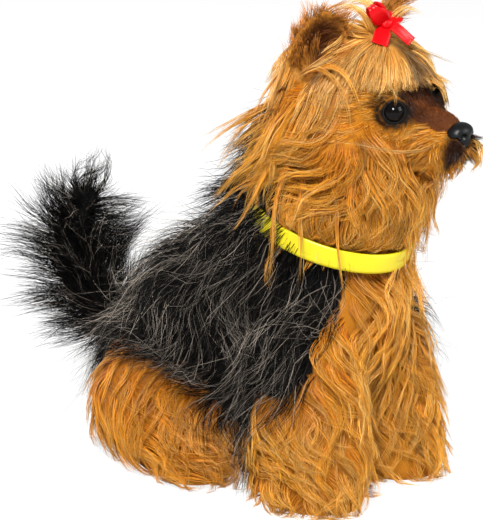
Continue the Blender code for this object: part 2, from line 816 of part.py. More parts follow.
def clear_neighbours(nodes):
    """Cuts the cores back from one another, so that each meets its neighbours face to face."""
    bow = [nodes["bow_knot"]] + [nodes[f"bow_{part}_{word}"] for part in ("loop", "end") for word in HANDS]
    head, neck, torso, collar = nodes["head"], nodes["neck"], nodes["torso"], nodes["collar"]
    legs = [nodes[f"{pair}leg_{word}"] for pair in ("fore", "hind") for word in HANDS]
    cut_by(nodes["nose"], head)
    cut_by(head, nodes["eye_left"], nodes["eye_right"])
    cut_by(head, collar)
    cut_by(neck, head)
    for word in HANDS:
        cut_by(nodes[f"ear_{word}"], head)
        cut_by(nodes[f"ear_{word}"], neck)
    cut_by(nodes["topknot"], head)
    cut_by(nodes["topknot"], *bow)
    for piece in bow[1:]:
        cut_by(piece, bow[0])
    for piece in bow:
        cut_by(piece, head)
    cut_by(nodes["bow_loop_left"], nodes["bow_loop_right"])
    for word in HANDS:
        cut_by(nodes[f"bow_end_{word}"], nodes[f"bow_loop_{word}"])
    cut_by(nodes["bow_end_left"], nodes["bow_end_right"])
    cut_by(torso, *legs)
    cut_by(torso, collar)
    cut_by(nodes["tail"], torso, *legs[2:])
    for leg in legs[:2]:
        cut_by(leg, collar)
    cut_by(legs[0], legs[1])
    for foreleg, hindleg in zip(legs[:2], legs[2:]):
        cut_by(hindleg, foreleg)


def lay_coat(nodes):
    """Lays the locks from the legs up, so that each kind keeps clear of those before it."""
    coat = Coat(list(nodes.values()), random.Random(SEED))
    for word in HANDS:
        coat.lay(nodes[f"foreleg_{word}"], "foreleg", leg_lie, on_side)
    for word in HANDS:
        coat.lay(nodes[f"hindleg_{word}"], "hindleg", haunch_lie, on_top)
    coat.lay(nodes["torso"], "torso", torso_lie, on_top, torso_shape)
    coat.lay(nodes["tail"], "tail", tail_lie)
    coat.lay(nodes["head"], "beard", head_lie, on_beard)
    coat.lay(nodes["neck"], "neck", neck_lie, None, neck_shape)
    coat.lay(nodes["head"], "head", head_lie, on_head, head_shape)
    for word in HANDS:
        coat.lay(nodes[f"ear_{word}"], "ear", ear_lie, on_back_of_ear)
    coat.lay(nodes["topknot"], "topknot", topknot_lie)
    for name in list(coat.made):
        coat.fuse(nodes[name])


def finish_node(obj, finish):
    obj.data.materials.clear()
    obj.data.materials.append(material(finish))
    obj.data.shade_smooth()
    obj.data.set_sharp_from_angle(angle=SMOOTH_BELOW)


def main():
    clear_scene()
    made = [build_torso(), build_neck(), build_head(), build_tail(), build_collar(), build_topknot(),
            build_nose(), *build_bow()]
    for word in HANDS:
        made += [build_foreleg(word), build_hindleg(word), build_ear(word), build_eye(word)]
    nodes = {obj.name: obj for obj in made}
    clear_neighbours(nodes)
    lay_coat(nodes)
    for name, obj in nodes.items():
        finish_node(obj, FINISHES.get(name.split("_")[0], "tan_coat"))


main()
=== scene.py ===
"""Looks of a sitting long-coated toy terrier: one skin under a coat of hair-thin strands, bead eyes
with lids, a moulded nose, a neck strap and a tied ribbon. Lengths in the code are millimetres in
(side, forward, up) from the middle of the seat; the scene is in metres and the toy faces -Y."""

import json
import math
from typing import NamedTuple

import bmesh
import bpy
import numpy as np
from bpy.props import FloatProperty, FloatVectorProperty, IntProperty, PointerProperty, StringProperty
from mathutils import Matrix, Vector, noise
from mathutils.bvhtree import BVHTree

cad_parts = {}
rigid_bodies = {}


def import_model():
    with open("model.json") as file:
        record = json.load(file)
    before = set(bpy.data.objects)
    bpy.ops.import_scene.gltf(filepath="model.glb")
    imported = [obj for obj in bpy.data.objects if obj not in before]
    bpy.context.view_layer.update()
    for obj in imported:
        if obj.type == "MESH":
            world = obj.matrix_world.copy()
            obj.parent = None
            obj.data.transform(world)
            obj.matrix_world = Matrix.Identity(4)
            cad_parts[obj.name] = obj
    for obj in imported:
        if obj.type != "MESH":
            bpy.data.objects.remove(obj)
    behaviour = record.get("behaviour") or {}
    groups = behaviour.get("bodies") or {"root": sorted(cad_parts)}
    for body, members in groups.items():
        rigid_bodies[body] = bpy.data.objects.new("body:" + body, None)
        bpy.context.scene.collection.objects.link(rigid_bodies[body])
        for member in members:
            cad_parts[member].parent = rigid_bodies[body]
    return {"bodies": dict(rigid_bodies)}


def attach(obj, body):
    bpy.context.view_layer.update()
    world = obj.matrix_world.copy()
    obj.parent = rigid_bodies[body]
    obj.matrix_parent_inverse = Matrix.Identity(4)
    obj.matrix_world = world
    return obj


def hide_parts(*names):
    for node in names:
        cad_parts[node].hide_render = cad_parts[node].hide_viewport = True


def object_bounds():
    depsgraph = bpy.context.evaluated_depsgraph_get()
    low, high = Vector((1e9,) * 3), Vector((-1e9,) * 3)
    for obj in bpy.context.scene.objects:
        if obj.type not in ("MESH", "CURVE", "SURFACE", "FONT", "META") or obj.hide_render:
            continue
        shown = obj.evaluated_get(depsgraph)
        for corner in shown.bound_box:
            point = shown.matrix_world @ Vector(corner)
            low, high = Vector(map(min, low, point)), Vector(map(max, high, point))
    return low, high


bl_info = {
    "name": "Toy Terrier Dressing",
    "version": (1, 0, 0),
    "blender": (4, 5, 0),
    "location": "3D View > Sidebar > Toy Terrier",
    "description": "Skin, coat, face, strap and ribbon of a sitting toy terrier",
    "category": "Object",
}

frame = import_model()
CAD_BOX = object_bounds()
BODY = next(iter(frame["bodies"]))
MM = 0.001
HANDS = {"left": 1, "right": -1}

# Sizes of the body in millimetres: forms are (side, forward, up) and half sizes
TORSO_FORMS = [
    ((0, -6, 46), (50, 50, 52)), ((0, 45, 50), (46, 66, 56)), ((0, 30, 92), (50, 56, 52)),
    ((0, 66, 114), (50, 60, 50)), ((0, 96, 106), (44, 44, 50)), ((0, 74, 143), (42, 46, 32)),
]
NECK_LEAN = math.radians(18)
NECK_RADIUS, NECK_DEPTH = 44.0, 48.0
NECK_FORMS = [((0, 92, 150), (43, 47, 26)), ((0, 101, 172), (44, 47, 30)), ((0, 110, 196), (43, 46, 30)),
              ((0, 116, 214), (41, 44, 28))]
COLLAR_CENTRE = (0, 98, 156.5)
COLLAR_WIDTH, COLLAR_WALL = 12.0, 2.0
HEAD_FORMS = [
    ((0, 117, 236), (43, 38, 38)), ((0, 135, 245), (30, 22, 23)), ((22, 116, 212), (26, 29, 28)),
    ((10, 148, 225), (15, 16, 15)), ((0, 140, 190), (24, 20, 26)),
]
MUZZLE_FORMS = [((0, 161, 222), (13, 26, 12)), ((7, 171, 213.5), (10, 21, 9)), ((0, 162, 204), (14, 24, 8))]
FORELEG_FOOT, FORELEG_TOP = (39, 114, 0), (34, 102, 112)
FORELEG_RINGS = [(0.0, 24, 30), (0.06, 27, 33), (0.3, 27, 32), (0.6, 25, 29), (0.86, 22, 26), (1.0, 12, 15)]
HIND_FORMS = [((43, -4, 38), (25, 34, 33)), ((45, 12, 28), (25, 34, 29)), ((45, 32, 13), (22, 24, 20))]
TAIL_LINE = [(0, -40, 60), (0, -68, 72), (0, -91, 94), (0, -98, 121), (0, -87, 144)]
TAIL_RADII = [15, 14, 13, 12, 8]
EAR_BASE, EAR_TIP = (31, 106, 250), (37, 122, 290)
EAR_WIDTH, EAR_CUP, EAR_WALL = 18.0, 8.0, 3.2
EYE_AT, EYE_RADIUS = (21.5, 155.5, 233.5), 6.3
EYE_LOOK = (0.72, 0.69, 0.08)
SOCKET_REACH, SOCKET_RADIUS, SOCKET_RISE = 7.6, 2.1, 1.6
NOSE_AT = (0, 186.5, 221)
BOW_AT = (0, 139, 279.5)
BOW_KNOT = (-2.3, 137, 278)
FLOOR_CLEAR, SKIN_FLOOR = 0.6, 0.3


class Growth(NamedTuple):
    """How the hair of one region grows, in millimetres and shares of its length."""

    spacing: float           # between locks
    hairs: int               # in a lock
    length: float
    width: float             # of one hair
    lift: float              # of the tips over the skin
    clump: float             # how far a lock's hairs close up at their tips, or below 0 bend apart
    swirl: float = 0.2       # how far the lie wanders from place to place, in radians
    curl: float = 0.0        # how far a lock bends to and fro, in radians
    wave: float = 28.0       # length of such a bend
    mess: float = 0.05       # how far single hairs stray
    droop: float = 0.0       # pull towards the floor
    steps: int = 6           # segments of a hair


GROWTHS = {
    "back": Growth(6.8, 9, 44, 0.46, 13, 0.4, swirl=1.3, curl=0.4, wave=60, mess=0.26, droop=0.15, steps=5),
    "nape": Growth(6.4, 10, 54, 0.5, 24, 0.4, swirl=0.8, curl=0.4, wave=60, mess=0.2, droop=0.25, steps=5),
    "grizzle": Growth(4.8, 4, 42, 0.2, 17, -0.2, swirl=1.8, curl=0.5, wave=70, mess=0.75, steps=4),
    "chest": Growth(6.0, 17, 56, 0.38, 10, 0.8, swirl=0.8, curl=0.9, wave=56, droop=0.2),
    "mane": Growth(6.6, 17, 60, 0.42, 17, 0.82, swirl=0.8, curl=0.8, wave=64, droop=0.3),
    "occiput": Growth(6.6, 16, 64, 0.44, 22, 0.85, swirl=0.6, curl=0.7, wave=70, droop=0.35),
    "crown": Growth(4.4, 13, 34, 0.44, 6, 0.55, swirl=0.25, curl=0.3, wave=50, droop=0.1, steps=5),
    "fringe": Growth(3.4, 12, 28, 0.4, 5, 0.45, swirl=0.1, curl=0.12, mess=0.03, steps=5),
    "cheek": Growth(5.6, 18, 58, 0.38, 12, 0.75, swirl=0.9, curl=0.8, wave=60, droop=0.25),
    "brow": Growth(2.3, 8, 10, 0.34, 3.0, 0.3, mess=0.08, steps=3),
    "eye_patch": Growth(2.2, 8, 8, 0.34, 1.6, 0.3, mess=0.1, steps=3),
    "bridge": Growth(1.9, 7, 5.5, 0.28, 0.8, 0.2, swirl=0.1, mess=0.04, steps=2),
    "muzzle": Growth(2.8, 9, 19, 0.36, 3.5, 0.5, swirl=0.4, curl=0.3, wave=30, mess=0.08, steps=4),
    "lip": Growth(2.1, 8, 8, 0.32, 2.6, 0.3, swirl=0.4, mess=0.14, steps=3),
    "beard": Growth(4.6, 14, 50, 0.4, 8, 0.78, swirl=0.6, curl=0.8, wave=54, droop=0.4),
    "ear_back": Growth(3.4, 11, 17, 0.38, 4, 0.4, swirl=0.4, curl=0.3, wave=30, mess=0.16, steps=4),
    "ear_inside": Growth(3.0, 7, 13, 0.34, 3, 0.3, swirl=0.8, mess=0.3, steps=3),
    "foreleg": Growth(6.0, 16, 42, 0.4, 9.5, 0.78, swirl=1.4, curl=0.9, wave=54, mess=0.04),
    "haunch": Growth(6.0, 16, 44, 0.4, 8.5, 0.78, swirl=1.2, curl=0.9, wave=56, mess=0.04),
    "tail": Growth(4.5, 13, 47, 0.34, 30, 0.12, swirl=1.1, curl=0.6, wave=52, mess=0.26, droop=0.3, steps=5),
}
# The coat's pieces and the regions they grow on; the grizzle is a second growth over the dark regions
COAT_PIECES = {
    "coat_back": ("back",), "coat_nape": ("nape",), "coat_tail": ("tail",),
    "coat_grizzle": ("back", "nape", "tail"), "coat_chest": ("chest",),
    "coat_foreleg_left": ("foreleg",), "coat_foreleg_right": ("foreleg",),
    "coat_haunch_left": ("haunch",), "coat_haunch_right": ("haunch",), "coat_neck": ("mane", "occiput"),
    "coat_head": ("crown", "fringe"), "coat_cheeks": ("cheek",), "coat_ears": ("ear_back", "ear_inside"),
    "coat_face": ("brow", "eye_patch", "bridge", "muzzle", "lip", "beard"),
}
DARK_PIECES = ("coat_back", "coat_nape", "coat_tail", "coat_grizzle")


class Lock(NamedTuple):
    """A listed lock: its hair, and a path in millimetres that is kept (1) or mirrored (-1)."""

    region: str
    hairs: int
    spread: float
    clump: float
    path: tuple
    hands: tuple = (1, -1)
    width: float = 0.42


LOCKS = {
    "coat_neck": [
        Lock("occiput", 30, 3.2, 0.8, ((-30, 90, 236), (-37, 74, 226), (-39, 52, 212), (-36, 32, 197))),
        Lock("occiput", 30, 3.2, 0.8, ((-20, 84, 238), (-24, 68, 226), (-26, 48, 208), (-25, 34, 188))),
        Lock("occiput", 30, 3.2, 0.8, ((-38, 94, 228), (-46, 80, 206), (-46, 60, 184), (-40, 42, 169))),
        Lock("mane", 30, 3.2, 0.8, ((-40, 98, 216), (-50, 86, 192), (-52, 76, 170), (-48, 62, 152))),
        Lock("mane", 30, 3.4, 0.8, ((-42, 104, 208), (-54, 98, 182), (-56, 98, 158), (-52, 92, 131))),
        Lock("mane", 18, 2.6, 0.8, ((-41, 112, 200), (-51, 112, 178), (-52, 116, 156), (-49, 113, 134))),
        Lock("mane", 14, 2.2, 0.8, ((-36, 128, 186), (-46, 134, 166), (-45, 136, 148), (-42, 138, 128))),
    ],
    "coat_cheeks": [
        Lock("cheek", 16, 2.0, 0.7,
             ((-38, 104, 250), (-45, 112, 259), (-45, 124, 258), (-44, 134, 250), (-45, 141, 237),
              (-46, 144, 222))),
        Lock("cheek", 14, 2.0, 0.7,
             ((-38, 112, 252), (-43, 124, 262), (-43, 136, 256), (-41, 144, 244), (-42, 149, 230))),
    ],
    "coat_head": [
        Lock("crown", 40, 4.5, 0.4, ((-2, 131, 278), (-5, 124, 287), (-8, 116, 289), (-13, 103, 283))),
        Lock("crown", 40, 4.5, 0.4, ((2, 130, 279), (1, 126, 288), (0, 119, 290), (0, 104, 284)), (1,)),
        Lock("crown", 30, 3.5, 0.4, ((2, 133, 279), (8, 137, 286), (13, 142, 287), (17, 149, 282)), (1,)),
    ],
    "coat_face": [
        Lock("crown", 16, 1.6, 0.5,
             ((-10, 180, 219), (-18, 178, 214), (-27, 171, 212), (-37, 160, 214), (-44, 147, 219),
              (-48, 133, 218)), (1,), 0.34),
        Lock("crown", 40, 2.4, 0.3, ((10, 160, 250), (15, 162, 245), (18, 164, 238), (20, 164, 228)), (1,)),
        Lock("crown", 40, 2.4, 0.3, ((14, 156, 251), (19, 160, 245), (22, 163, 238), (24, 162, 228)), (1,)),
        Lock("crown", 24, 1.8, 0.3, ((8, 161, 249), (12, 164, 245), (16, 165, 240), (18, 165, 233)), (1,)),
        Lock("beard", 36, 3.0, 0.3, ((2, 191, 212), (4, 195, 209), (5, 196, 204), (4, 193, 200)), (1,), 0.32),
        Lock("beard", 36, 3.0, 0.3, ((6, 187, 207), (8, 191, 205), (8, 192, 201), (7, 189, 197)), (1,), 0.32),
        Lock("beard", 44, 3.2, 0.2, ((7, 188, 215), (8, 194, 214), (8, 197, 210), (8, 196, 204)), (1,), 0.32),
    ],
}
REGIONS = [name for name in GROWTHS if name != "grizzle"]
HIDES = {}

# How the hair is laid: lengths in millimetres, counts and shares
GUIDE_STEPS = 10                   # segments of a lock's path
BAKE_PATCH = 0.003                 # a hair's patch, as a share of the bake map
STAND_PROUD = 12                   # how far hair may reach past the CAD model's box
ROOT_DEPTH = 0.8                   # how deep in the skin a hair starts
HAND_WANDER = 0.8                  # how far the marks of a listed lock stray
HIDDEN_SHARE = 0.5                 # share of locks left out where the body hides them
EYE_CLEAR, NOSE_CLEAR = 1.2, 8.5   # from the bead, and from the nose's middle
STRAP_CLEAR, STRAP_TOP = 6.5, 2.5  # along the neck from the strap's middle; tan hair may lie above the second
STRAP_COVERED = (-2, 30)           # to the side, where the beard hangs over the strap

# Single paler and deeper hairs of the tan coat: their shares, and factors on their colour. The paler hairs
# are whitened as painted sheen.
SHEEN_PALE_SHARE, DEEP_SHARE = 0.24, 0.16
SHEEN_PALE, SHEEN_PALE_FAIR, DEEP = (1.05, 1.42, 4.6), (1.05, 1.4, 2.2), (0.7, 0.55, 0.35)
# How much of the hairs' root and tip colours the skin takes, kept low as painted shade under the coat
BACKING_SHADE_ROOT, BACKING_SHADE_TIP = 0.4, 0.25

# Fittings of the face: offsets from the nose's middle with half sizes, and the lid's loops
NOSE_PADS = [((0, -0.5, 1.4), (8.4, 6.6, 5.2)), ((0, -1, -3.4), (4.6, 6.4, 6.0)),
             ((5.0, -1.2, -0.2), (4.2, 5.6, 4.8))]
NOSTRIL = [((4.6, 5.2, -0.9), (2.7, 3.6, 2.3)), ((7.8, 2.0, -2.0), (2.8, 3.6, 1.2))]
GROOVE = ((0, 6.4, -5.0), (0.45, 2.4, 4.8))
LID_LOOPS = ((7.2, 1.2, 0.8), (6.7, 2.3, 0.6), (6.1, 2.7, 0.4), (5.6, 2.7, 0.2))  # reach, rise, corner

# The lamps' places and sizes in metres, with their power, and the point they are turned to
LAMPS = {"key": ((-1.25, -0.75, 1.25), 0.42, 62), "front": ((0.5, -1.6, 0.9), 1.0, 24),
         "rear": ((-0.2, 1.4, 1.2), 0.9, 26)}
LIT_POINT = (0, -0.06, 0.14)
# The photograph's frame in pixels and the size of one, the camera's angles and way off, and a floor point
# in millimetres with the pixel that it is held at
PHOTO_WIDTH, PHOTO_HEIGHT, PIXEL = 483, 520, 0.6 * MM
CAMERA_TURN, CAMERA_RISE, CAMERA_DISTANCE, SENSOR = -53, 15, 1.8, 36
HELD_POINT, HELD_PIXEL = (0, 60, 0), (277, 466)


def place(side, forward, up):
    """A point in metres from millimetres to the side, forward and up."""
    return Vector((side, -forward, up)) * MM


def on_side(hand, point):
    """A point of the left side (1), or its like on the right (-1), in metres."""
    return place(point[0] * hand, *point[1:])


def towards(side, forward, up):
    """A direction in the scene's axes."""
    return Vector((side, -forward, up)).normalized()


def ramp(value, start, end):
    """0 before start, 1 past end, and evenly between; numbers or arrays."""
    return np.clip((value - start) / (end - start), 0.0, 1.0)


def along(flow, out):
    """The part of a direction that runs along the surface."""
    flat = flow - out * flow.dot(out)
    return flat.normalized() if flat.length > 1e-6 else out.orthogonal().normalized()


NECK_AXIS = towards(0, math.sin(NECK_LEAN), math.cos(NECK_LEAN))
NECK_ALONG = towards(0, math.cos(NECK_LEAN), -math.sin(NECK_LEAN))


# The bow
class BowSide(NamedTuple):
    """A loop and an end of the bow, with its directions in the scene's axes."""

    out: Vector              # from the knot to the far end of the loop
    lift: Vector             # from the loop's lower strip to its upper one
    size: float              # of the loop, against the larger one
    drop: Vector             # from the knot to the tip of the end
    reach: float             # of the end, in millimetres
    across: Vector           # across the end
    spread: float            # how much wider the end is at its tip, as a share


BOW_SIDES = (
    BowSide(towards(1, -0.25, 0.05), towards(0, 0.45, 0.9), 0.85,
            towards(0.05, 0.87, -0.4), 18, towards(0.5, 0.3, 0.6), 0.12),
    BowSide(towards(-0.85, -0.08, 0.72), towards(-0.5, 0.7, -0.3), 1.0,
            towards(-0.6, 0.12, -0.6), 14, Vector((0.55, -0.5, -0.2)), 0.5),
)
# A loop's line in millimetres: its middle from the knot, its half length, and its swell
LOOP_MIDDLE, LOOP_HALF, LOOP_SWELL, LOOP_POINTS = 9.6, 8.4, 4.6, 32
LOOP_LENGTH = LOOP_MIDDLE + LOOP_HALF


# Mesh helpers
def link(name, data):
    """An object in the scene for a mesh, lamp or camera."""
    obj = bpy.data.objects.new(name, data)
    bpy.context.scene.collection.objects.link(obj)
    return obj


def object_from(bm, name):
    """A smooth-shaded object from a bmesh, which is freed."""
    mesh = bpy.data.meshes.new(name)
    bm.normal_update()
    bm.to_mesh(mesh)
    bm.free()
    mesh.shade_smooth()
    return link(name, mesh)


def settle(obj):
    """Applies every modifier of an object."""
    graph = bpy.context.evaluated_depsgraph_get()
    mesh = bpy.data.meshes.new_from_object(obj.evaluated_get(graph))
    old, name = obj.data, obj.data.name
    obj.modifiers.clear()
    obj.data = mesh
    bpy.data.meshes.remove(old)
    mesh.name = name
    return obj


def remove(obj):
    mesh = obj.data
    bpy.data.objects.remove(obj)
    bpy.data.meshes.remove(mesh)


def add_form(bm, centre, half, turn=0.0):
    """A rounded form with its centre and half sizes in millimetres."""
    shape = Matrix.Diagonal((half[0] * MM, half[1] * MM, half[2] * MM, 1))
    where = Matrix.Translation(place(*centre)) @ Matrix.Rotation(turn, 4, "X")
    bmesh.ops.create_icosphere(bm, subdivisions=4, radius=1, matrix=where @ shape)


def eye_loop(hand, reach, rise, count, corner=0.0):
    """Points of a loop round an eye, with its outer corner drawn out by a length."""
    centre = on_side(hand, EYE_AT)
    look = towards(EYE_LOOK[0] * hand, EYE_LOOK[1], EYE_LOOK[2])
    over = along(towards(0, -0.15, 1), look)
    back = look.cross(over) * hand
    if back.y < 0:
        back = -back
    points = []
    for k in range(count):
        angle = 2 * math.pi * k / count
        drawn = corner * max(0.0, math.cos(angle)) ** 5
        flat = back * (math.cos(angle) * (reach + drawn)) + over * (math.sin(angle) * reach - drawn * 0.35)
        points.append(centre + (flat + look * (rise - drawn * 0.25)) * MM)
    return points


def socket_frames(hand, reach, rise, radius, count):
    """Rings of the soft rim that the eye sits in."""
    centre = on_side(hand, EYE_AT)
    points, frames = eye_loop(hand, reach, rise, count), []
    for k, point in enumerate(points):
        run = (points[(k + 1) % count] - points[k - 1]).normalized()
        out = along(point - centre, run)
        frames.append(frame_at(point, out, run.cross(out), radius * MM, radius * MM))
    return frames


def edges_of(verts):
    return list({edge for vert in verts for edge in vert.link_edges})


def bridge(bm, rings, closed=False):
    """Joins each ring of edges to the next, and the last to the first where they close."""
    for here, there in zip(rings, rings[1:] + (rings[:1] if closed else [])):
        bmesh.ops.bridge_loops(bm, edges=here + there)


def add_rings(bm, frames, sides, closed=False):
    """A tube through elliptical rings, each a 4x4 that turns and scales a unit circle."""
    rings = [edges_of(bmesh.ops.create_circle(bm, segments=sides, radius=1, matrix=where)["verts"])
             for where in frames]
    bridge(bm, rings, closed)
    if not closed:
        bmesh.ops.contextual_create(bm, geom=rings[0])
        bmesh.ops.contextual_create(bm, geom=rings[-1])
    bmesh.ops.recalc_face_normals(bm, faces=bm.faces[:])


def frame_at(point, x_axis, y_axis, half_x, half_y):
    """A 4x4 that carries a unit circle to an ellipse; half sizes in metres."""
    z_axis = x_axis.cross(y_axis).normalized()
    turn = Matrix((x_axis * half_x, y_axis * half_y, z_axis)).transposed().to_4x4()
    return Matrix.Translation(point) @ turn


def melt(obj, voxel, smoothing):
    """Joins overlapping closed forms into one smooth surface."""
    remesh = obj.modifiers.new("join", "REMESH")
    remesh.mode = "VOXEL"
    remesh.voxel_size = voxel * MM
    remesh.use_smooth_shade = True
    smooth = obj.modifiers.new("smooth", "SMOOTH")
    smooth.iterations = smoothing
    return settle(obj)


def cut_away(obj, cutter):
    """Cuts one closed form out of a piece."""
    boolean = obj.modifiers.new("cut", "BOOLEAN")
    boolean.operation = "DIFFERENCE"
    boolean.solver = "EXACT"
    boolean.object = cutter
    settle(obj)
    remove(cutter)


def ride(obj, slot, *nodes):
    """Fixes a piece to the body and hides the nodes that it stands for; its slot is not used."""
    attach(obj, BODY)
    if nodes:
        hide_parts(*nodes)


# Materials
def new_material(name, colour, roughness, **sockets):
    """A Principled material with its even values on its own sockets."""
    made = bpy.data.materials.new(name)
    made.use_nodes = True
    shader = made.node_tree.nodes["Principled BSDF"]
    shader.inputs["Base Color"].default_value = (*colour, 1)
    shader.inputs["Roughness"].default_value = roughness
    for socket, value in sockets.items():
        shader.inputs[socket.replace("_", " ")].default_value = value
    return made, made.node_tree, shader


def add_node(tree, kind, links=(), **values):
    """A node with its values, and links given as (input, source socket)."""
    node = tree.nodes.new(kind)
    for key, value in values.items():
        if hasattr(node, key):
            setattr(node, key, value)
        else:
            node.inputs[key.replace("_", " ")].default_value = value
    for target, source in links:
        tree.links.new(source, node.inputs[target])
    return node


def noise_from(tree, scale, detail):
    """The value of a noise on Object coordinates."""
    where = add_node(tree, "ShaderNodeTexCoord")
    return add_node(tree, "ShaderNodeTexNoise", [("Vector", where.outputs["Object"])],
                    Scale=scale, Detail=detail, Roughness=0.55).outputs["Fac"]


def graded(tree, factor, low, high):
    """A value from 0 to 1 moved to between low and high."""
    node = add_node(tree, "ShaderNodeMapRange", [("Value", factor)], To_Min=low, To_Max=high)
    return node.outputs["Result"]


def hair_colour(tree):
    """The colour that each hair, and the skin, carries from root to tip, darker at the root as painted shade.
    """
    return add_node(tree, "ShaderNodeAttribute", attribute_name="hair_colour").outputs["Color"]


def add_bump(tree, shader, height, strength, distance):
    bump = add_node(tree, "ShaderNodeBump", [("Height", height)], Strength=strength, Distance=distance * MM)
    tree.links.new(bump.outputs["Normal"], shader.inputs["Normal"])


def vary_colour(tree, shader, source, factor, low, high):
    """Multiplies a colour, plain or from a node, by a grey that a noise moves between low and high."""
    mix = add_node(tree, "ShaderNodeMix", data_type="RGBA", blend_type="MULTIPLY")
    mix.inputs[0].default_value = 1.0
    if isinstance(source, tuple):
        mix.inputs[6].default_value = (*source, 1)
    else:
        tree.links.new(source, mix.inputs[6])
    tree.links.new(graded(tree, factor, low, high), mix.inputs[7])
    tree.links.new(mix.outputs[2], shader.inputs["Base Color"])


def pile_material(name, specular, roughness):
    """Fibre pile of separate hairs."""
    made, tree, shader = new_material(name, (0.5, 0.3, 0.1), roughness, Specular_IOR_Level=specular)
    vary_colour(tree, shader, hair_colour(tree), noise_from(tree, 900, 2), 0.8, 1.2)
    return made


def skin_material():
    """The woven backing under the pile, which carries the same markings, darkened as painted shade under the
    coat.
    """
    made, tree, shader = new_material("pile_backing", (0.3, 0.15, 0.05), 0.85, Specular_IOR_Level=0.1)
    fine = noise_from(tree, 1400, 4)
    vary_colour(tree, shader, hair_colour(tree), fine, 0.6, 1.3)
    add_bump(tree, shader, fine, 0.6, 0.5)
    return made


def bead_material():
    """Polished black plastic."""
    made, tree, shader = new_material("black_bead", (0.002, 0.0015, 0.0015), 0.03, Specular_IOR_Level=0.12)
    tree.links.new(graded(tree, noise_from(tree, 300, 2), 0.03, 0.06), shader.inputs["Roughness"])
    return made


def lid_material():
    """The dull black rim round an eye."""
    made, tree, shader = new_material("black_lid", (0.003, 0.0025, 0.0025), 0.5, Specular_IOR_Level=0.15)
    add_bump(tree, shader, noise_from(tree, 1800, 3), 0.5, 0.15)
    return made


def nose_material():
    """Moulded plastic with a fine pebbled grain."""
    made, tree, shader = new_material("nose_plastic", (0.004, 0.004, 0.0045), 0.3, Specular_IOR_Level=0.16)
    where = add_node(tree, "ShaderNodeTexCoord")
    cells = add_node(tree, "ShaderNodeTexVoronoi", [("Vector", where.outputs["Object"])], Scale=1500.0)
    add_bump(tree, shader, cells.outputs["Distance"], 0.35, 0.12)
    tree.links.new(graded(tree, noise_from(tree, 260, 3), 0.28, 0.46), shader.inputs["Roughness"])
    return made


def strap_material(colour):
    """Soft vinyl with a faint cross grain."""
    made, tree, shader = new_material("strap_vinyl", colour, 0.42, Specular_IOR_Level=0.4)
    vary_colour(tree, shader, colour, noise_from(tree, 45, 2), 0.9, 1.06)
    add_bump(tree, shader, noise_from(tree, 700, 4), 0.25, 0.12)
    return made


def satin_material(colour):
    """Satin ribbon: fine weft ribs across it and a soft gloss."""
    made, tree, shader = new_material("satin_ribbon", colour, 0.3, Specular_IOR_Level=0.16, Anisotropic=0.4)
    where = add_node(tree, "ShaderNodeUVMap", uv_map="weave")
    ribs = add_node(tree, "ShaderNodeTexWave", [("Vector", where.outputs["UV"])], Scale=0.9, Distortion=0.6,
                    Detail=2.0, bands_direction="Y")
    vary_colour(tree, shader, colour, noise_from(tree, 120, 2), 0.75, 1.1)
    add_bump(tree, shader, ribs.outputs["Fac"], 0.12, 0.05)
    return made


# The skin's regions and markings
def mirrored(forms):
    """The forms with those off the middle repeated on the other side."""
    return [((side * hand, forward, up), half)
            for (side, forward, up), half in forms for hand in ((1, -1) if side else (1,))]


def set_along(start, end, forms):
    """Forms given as (share of the way, half sizes), set on the line from start to end."""
    start, end = np.array(start), np.array(end)
    return [(tuple(start + (end - start) * rise), half) for rise, half in forms]


FORELEG_FORMS = set_along(FORELEG_FOOT, FORELEG_TOP, [(rise, (x, y, 18)) for rise, x, y in FORELEG_RINGS])
TAIL_FORMS = [(point, (radius, radius, radius)) for point, radius in zip(TAIL_LINE, TAIL_RADII)]
EAR_FORMS = set_along(EAR_BASE, EAR_TIP, [(rise, (15, 9, 11)) for rise in (0.15, 0.4, 0.65, 0.9)])
# The rounded forms that tell which part a point of the skin lies on
PARTS = {
    "torso": TORSO_FORMS, "neck": NECK_FORMS, "head": mirrored(HEAD_FORMS), "muzzle": mirrored(MUZZLE_FORMS),
    "foreleg": mirrored(FORELEG_FORMS), "haunch": mirrored(HIND_FORMS), "tail": TAIL_FORMS,
    "ear": mirrored(EAR_FORMS),
}


def nearest_part(points):
    """Index in PARTS of the part that each point (rows of side, forward, up) lies on."""
    reach = []
    for forms in PARTS.values():
        near = [np.linalg.norm((points - np.array(centre)) / np.array(half), axis=1)
                for centre, half in forms]
        reach.append(np.min(near, axis=0))
    return np.argmin(reach, axis=0)


